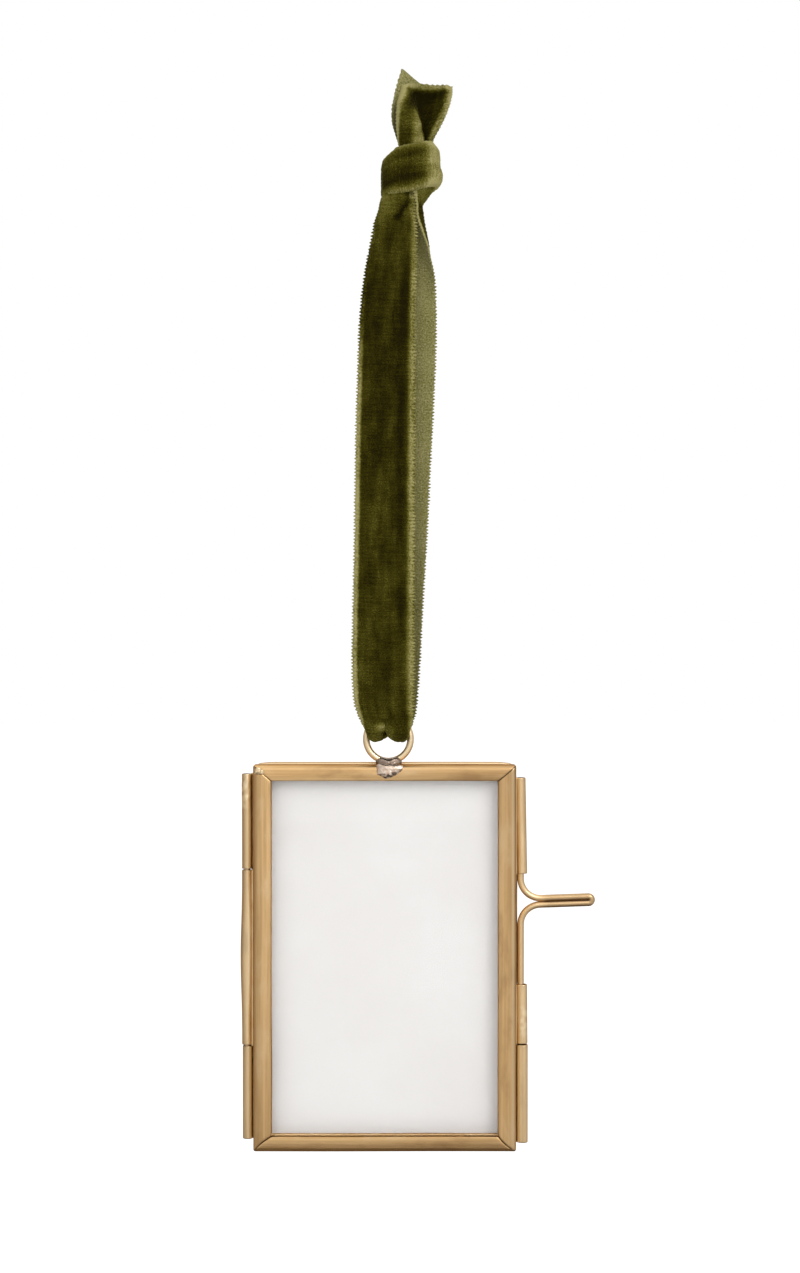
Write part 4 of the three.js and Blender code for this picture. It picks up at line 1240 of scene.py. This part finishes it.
# How light the pile is painted, from 0 to 1: lighter along the edges for the selvedges and a painted sheen,
# with painted light where it faces the light and painted shade in hollows, creases and gaps
def loop_nap_and_painted_light(surface, share, place, length):
    depth, height = surface[..., 1], surface[..., 2]
    # Edges: selvedges with painted sheen. Then painted shade beside the right edge, in the crease and in the
    # gap at the ring, and painted light near the knot, at the upper end and in the fold
    left = 0.75 * smooth_step(-0.8, -0.92, share) * (0.1 + 0.9 * smooth_step(24.0, 42.0, place))
    upper_end = smooth_step(length - 26.0, length - 16.0, place)
    right = 0.64 * smooth_step(0.68 + 0.2 * upper_end, 0.9 + 0.07 * upper_end, share)
    right = right * (0.5 + 0.5 * smooth_step(6.0, 13.0, place))
    thread = 0.6 * upper_end * smooth_step(0.9, 0.96, share)
    shade = -0.12 * peak(share, 0.55, 0.16) * smooth_step(12.0, 30.0, place)
    shadow = -0.3 * smooth_step(0.95, 0.99, share) * window(place, (25.0, 60.0), (130.0, 110.0))
    top = 0.14 * smooth_step(12.0, 7.0, place)
    turned = 0.25 * smooth_step(length - 9.0, length - 6.5, place)
    middle = -0.06 * window(place, (16.0, 30.0), (70.0, 50.0)) + 0.05 * smooth_step(55.0, 75.0, place)
    wide = 0.75 + 0.15 * smooth_step(CREASE_END[1], CREASE_TOP[1], height)
    crease = -0.6 * peak(line_distance(surface, CREASE_TOP, CREASE_END), 0.0, wide) * (place < 20.0)
    ring_top = RING_CENTER[2] + RING_RADIUS
    tuck = np.hypot(depth, height - ring_top)
    gap = -0.4 * smooth_step(3.7, 2.9, tuck) * smooth_step(ring_top - 1.0, ring_top - 1.8, height)
    patch = 0.3 * peak(line_distance(surface, PATCH_LEFT, PATCH_RIGHT), 0.0, 0.6) * (depth < 0)
    edges = left + right + thread + shade + shadow
    return 0.27 + edges + top + turned + middle + crease + gap + patch


def front_tail_nap_and_painted_light(surface, share, place, length):
    x, depth, height = np.moveaxis(surface, -1, 0)
    # Painted sheen on the rims, the cut end, the flap and the top-left corner; painted shade along the far
    # left edge, in the bowl and the hollow
    rim = 0.56 * smooth_step(0.76, 0.9, np.abs(share)) - 0.35 * smooth_step(-0.95, -0.99, share)
    cut = 0.6 * smooth_step(1.1, 0.2, place)
    bowl = -0.13 * smooth_step(16.0, 20.5, height) * window(share, (-0.82, -0.7), (0.1, -0.3))
    corner_size = 5.0
    from_left = RIBBON_HALF * (1 + share)
    inset = np.hypot(np.clip(corner_size - from_left, 0, None), np.clip(corner_size - place, 0, None))
    corner = 0.36 * smooth_step(3.2, 4.6, inset)
    hollow = -0.12 * smooth_step(-2.8, -0.6, depth)
    flap = 0.5 * smooth_step(1.9, 3.2, x) * smooth_step(-2.4, -3.2, depth)
    return 0.24 + rim + cut + bowl + hollow + flap + corner


def back_tail_nap_and_painted_light(surface, share, place, length):
    # Lighter rims: selvedges with painted sheen
    return 0.3 + 0.5 * smooth_step(0.74, 0.9, np.abs(share))


def knot_nap_and_painted_light(surface, share, place, length):
    x = surface[..., 0]
    # Painted sheen on the rims and painted light on the right side, towards the lamp
    rim = 0.28 * smooth_step(0.32, 0.72, -share) + 0.22 * smooth_step(0.38, 0.72, share)
    right = 0.16 * smooth_step(2.0, 5.0, x) + 0.5 * smooth_step(4.6, 6.6, x)
    return 0.22 + rim + right


def add_ribbon():
    shells = [
        strip_shell(loop_sections(), LOOP_COLUMNS, 0, loop_nap_and_painted_light, STITCH_REACH),
        strip_shell(FRONT_TAIL, TAIL_COLUMNS, 5, front_tail_nap_and_painted_light, FLAT_STITCH_REACH, FRAY),
        strip_shell(BACK_TAIL, TAIL_COLUMNS, 6, back_tail_nap_and_painted_light, FLAT_STITCH_REACH),
        strip_shell(knot_sections(), TAIL_COLUMNS, 7, knot_nap_and_painted_light, FLAT_STITCH_REACH),
    ]
    points, faces = joined([shell[:2] for shell in shells])
    kinds, weave, nap_and_painted_light = (np.concatenate(values) for values in list(zip(*shells))[2:])
    piece = make_piece("velvet_ribbon_cloth", points, faces, [pile, ground], 75)
    piece.data.polygons.foreach_set("material_index", kinds.astype(np.int32))
    set_vectors(piece, "weave", weave)
    set_floats(piece, "nap_and_painted_light", nap_and_painted_light)
    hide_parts("velvet_ribbon")
    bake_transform(piece)


add_ribbon()


# Outlines of the lumps of solder in the front view: angle from the right, going up, and radius
DROP_OUTLINE = [
    (0, 2.6), (11, 2.95), (25, 2.4), (45, 1.6), (90, 1.2), (135, 1.7), (155, 2.7), (180, 2.6), (205, 2.7),
    (225, 2.3), (252, 2.0), (292, 1.65), (322, 1.85), (350, 2.3), (360, 2.6),
]
SEAT_OUTLINE = [
    (0, 2.7), (22, 2.5), (60, 1.15), (90, 1.0), (120, 1.15), (158, 2.5), (180, 2.7), (270, 0.9), (360, 2.7),
]
DOT_OUTLINE = [(0, 1.15), (60, 0.85), (120, 1.0), (180, 1.0), (270, 0.85), (360, 1.15)]
DROP_CENTER = np.array([RING_CENTER[0] + 0.2, FRONT_FACE + 0.3, LEAF_TOP - 0.9])
SEAT_CENTER = np.array([RING_CENTER[0] + 0.1, RING_CENTER[1] - 0.2, LEAF_TOP + 0.35])
DOT_CENTER = np.array([LEAF_LEFT + 1.2, FRONT_FACE + 0.05, LEAF_TOP - 1.2])


def lump(center, outline, front, back, rough, seed):
    """Points and faces of a rough ball with its own outline, and its reach to the front and back."""
    turns = np.linspace(0.0, 360.0, LUMP_SIDES, endpoint=False)
    slants = np.radians(np.linspace(0.0, 180.0, LUMP_ROWS))[:, None]
    radius = through(*zip(*outline), turns) * np.sin(slants) ** 0.8
    depth = np.where(slants < math.pi / 2, -front * np.cos(slants), -back * np.cos(slants))
    turn = np.radians(turns)
    points = center + grid(radius * np.cos(turn), depth, radius * np.sin(turn)).reshape(-1, 3)
    lumps = noise_at(points, 0.9, seed) + 0.5 * noise_at(points, 2.2, seed + 1)
    return points + (points - center) * (rough * lumps)[:, None], loop_faces(len(slants), len(turns))


def add_ring_solder():
    """A drop on the rail, with a straight top edge, and a seat under the ring's foot. The drop gets painted
    shade on its lower facets and its upper ledge, the seat all over.
    """
    drop = lump(DROP_CENTER, DROP_OUTLINE, 1.0, 1.2, 0.12, 3)
    seat = lump(SEAT_CENTER, SEAT_OUTLINE, 1.3, 1.1, 0.06, 6)
    place = drop[0] - DROP_CENTER
    # Painted shade on the drop's lower facets below a ridge, and on its upper ledge
    ridge = -0.5 + 0.15 * place[:, 0] + 0.3 * noise_at(drop[0], 1.4, 2.0)
    craggy = smooth_step(-0.15, 0.15, noise_at(drop[0], 1.9, 8.0) + 0.1)
    under = 0.9 * smooth_step(0.1, -0.15, place[:, 2] - ridge) * craggy
    ledge = 0.3 * smooth_step(0.3, 0.7, place[:, 2])
    points, faces = joined([drop, seat])
    piece = make_piece("ring_solder_lump", points, faces, [solder], 32)
    set_vectors(piece, "grain", points)
    set_floats(piece, "grime_and_shade", np.concatenate([under + ledge, np.full(len(seat[0]), 0.7)]))
    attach(piece, "front_leaf")
    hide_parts("ring_solder")


def add_corner_dot():
    points, faces = lump(DOT_CENTER, DOT_OUTLINE, 0.6, 0.5, 0.3, 9)
    tin_and_sheen = np.clip(0.75 + 0.5 * noise_at(points, 1.1, 4.0), 0, 1)
    grime_and_shade = 0.7 * smooth_step(0.1, 0.35, noise_at(points, 1.7, 6.0))
    brass_piece("corner_solder_dot", "front_leaf", points, faces, 32, points, tin_and_sheen, grime_and_shade)


add_ring_solder()
add_corner_dot()

# Glass and card keep the shapes of their CAD nodes
for node, material in (("front_glass", glass), ("back_glass", glass), ("insert_card", card)):
    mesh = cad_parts[node].data
    mesh.materials.clear()
    mesh.materials.append(material)


# Stage: floor, world, lamps, and dark cards that only reflections show
def stage_card(name, corners, material):
    mesh = bpy.data.meshes.new(name)
    mesh.from_pydata([tuple(c * MM for c in corner) for corner in corners], [], [(0, 1, 2, 3)])
    mesh.materials.append(material)
    plate = bpy.data.objects.new(name, mesh)
    bpy.context.scene.collection.objects.link(plate)
    return plate


def add_floor():
    nodes = material_nodes("pale_floor")
    glow = nodes.math("MULTIPLY", nodes.node("LightPath")["Is Camera Ray"], FLOOR_GLOW)
    material = nodes.finish(
        Base_Color=FLOOR_SHADE, Roughness=0.9, Emission_Strength=glow, Emission_Color=WHITE,
    )
    ways = ((-1, -1), (1, -1), (1, 1), (-1, 1))
    stage_card("floor", [(x * FLOOR_HALF, y * FLOOR_HALF, FLOOR_Z) for x, y in ways], material)


def add_world():
    """White to the eye and through glass, brighter above and to the right in the metal, and a soft fill."""
    world = bpy.data.worlds.new("studio")
    bpy.context.scene.world = world
    nodes = Nodes(world)
    path = nodes.node("LightPath")
    direction = nodes.node("TexCoord")["Generated"]
    facing = nodes.node("VectorMath", {0: direction, 1: BRIGHT_SIDE}, operation="DOT_PRODUCT")["Value"]
    bright = nodes.range(facing, -0.2, 0.9, METAL_DIM, METAL_BRIGHT, "LINEAR")
    sideways = nodes.math("ABSOLUTE", nodes.node("SeparateXYZ", {0: direction})["X"])
    beside = nodes.range(sideways, 0.5, 0.85, 1.0, METAL_BESIDE, "LINEAR")
    metal = nodes.math("MULTIPLY", bright, beside)
    seen = nodes.math("MAXIMUM", path["Is Camera Ray"], path["Is Transmission Ray"])
    level = nodes.mix(path["Is Glossy Ray"], WORLD_FILL, metal, "FLOAT")
    level = nodes.mix(seen, level, 1.0, "FLOAT")
    nodes.finish("Background", Strength=level, Color=WHITE)


def add_lamp(name, place, target, size, power, glossy=True):
    lamp = bpy.data.lights.new(name, "AREA")
    lamp.shape = "SQUARE"
    lamp.size = size
    lamp.energy = power
    holder = bpy.data.objects.new(name, lamp)
    holder.location = place
    holder.visible_glossy = glossy
    holder.rotation_euler = (Vector(target) - Vector(place)).to_track_quat("-Z", "Y").to_euler()
    bpy.context.scene.collection.objects.link(holder)


def add_flag(name, corners, shade):
    """A dark card that gives the metal dark edges: only reflections show it."""
    flag = stage_card(name, corners, material_nodes(name).finish(Base_Color=shade, Roughness=1.0))
    flag.visible_camera = False
    flag.visible_diffuse = False
    flag.visible_transmission = False
    flag.visible_shadow = False


add_floor()
add_world()
add_flag("flag_below", FLAG_BELOW, FLAG_BELOW_SHADE)
add_flag("flag_left", FLAG_LEFT, FLAG_LEFT_SHADE)
add_lamp("key", KEY_PLACE, KEY_TARGET, size=0.5, power=3.5)
add_lamp("fill", FILL_PLACE, FILL_TARGET, size=0.6, power=2.0, glossy=False)

bpy.context.scene.view_settings.view_transform = "Standard"
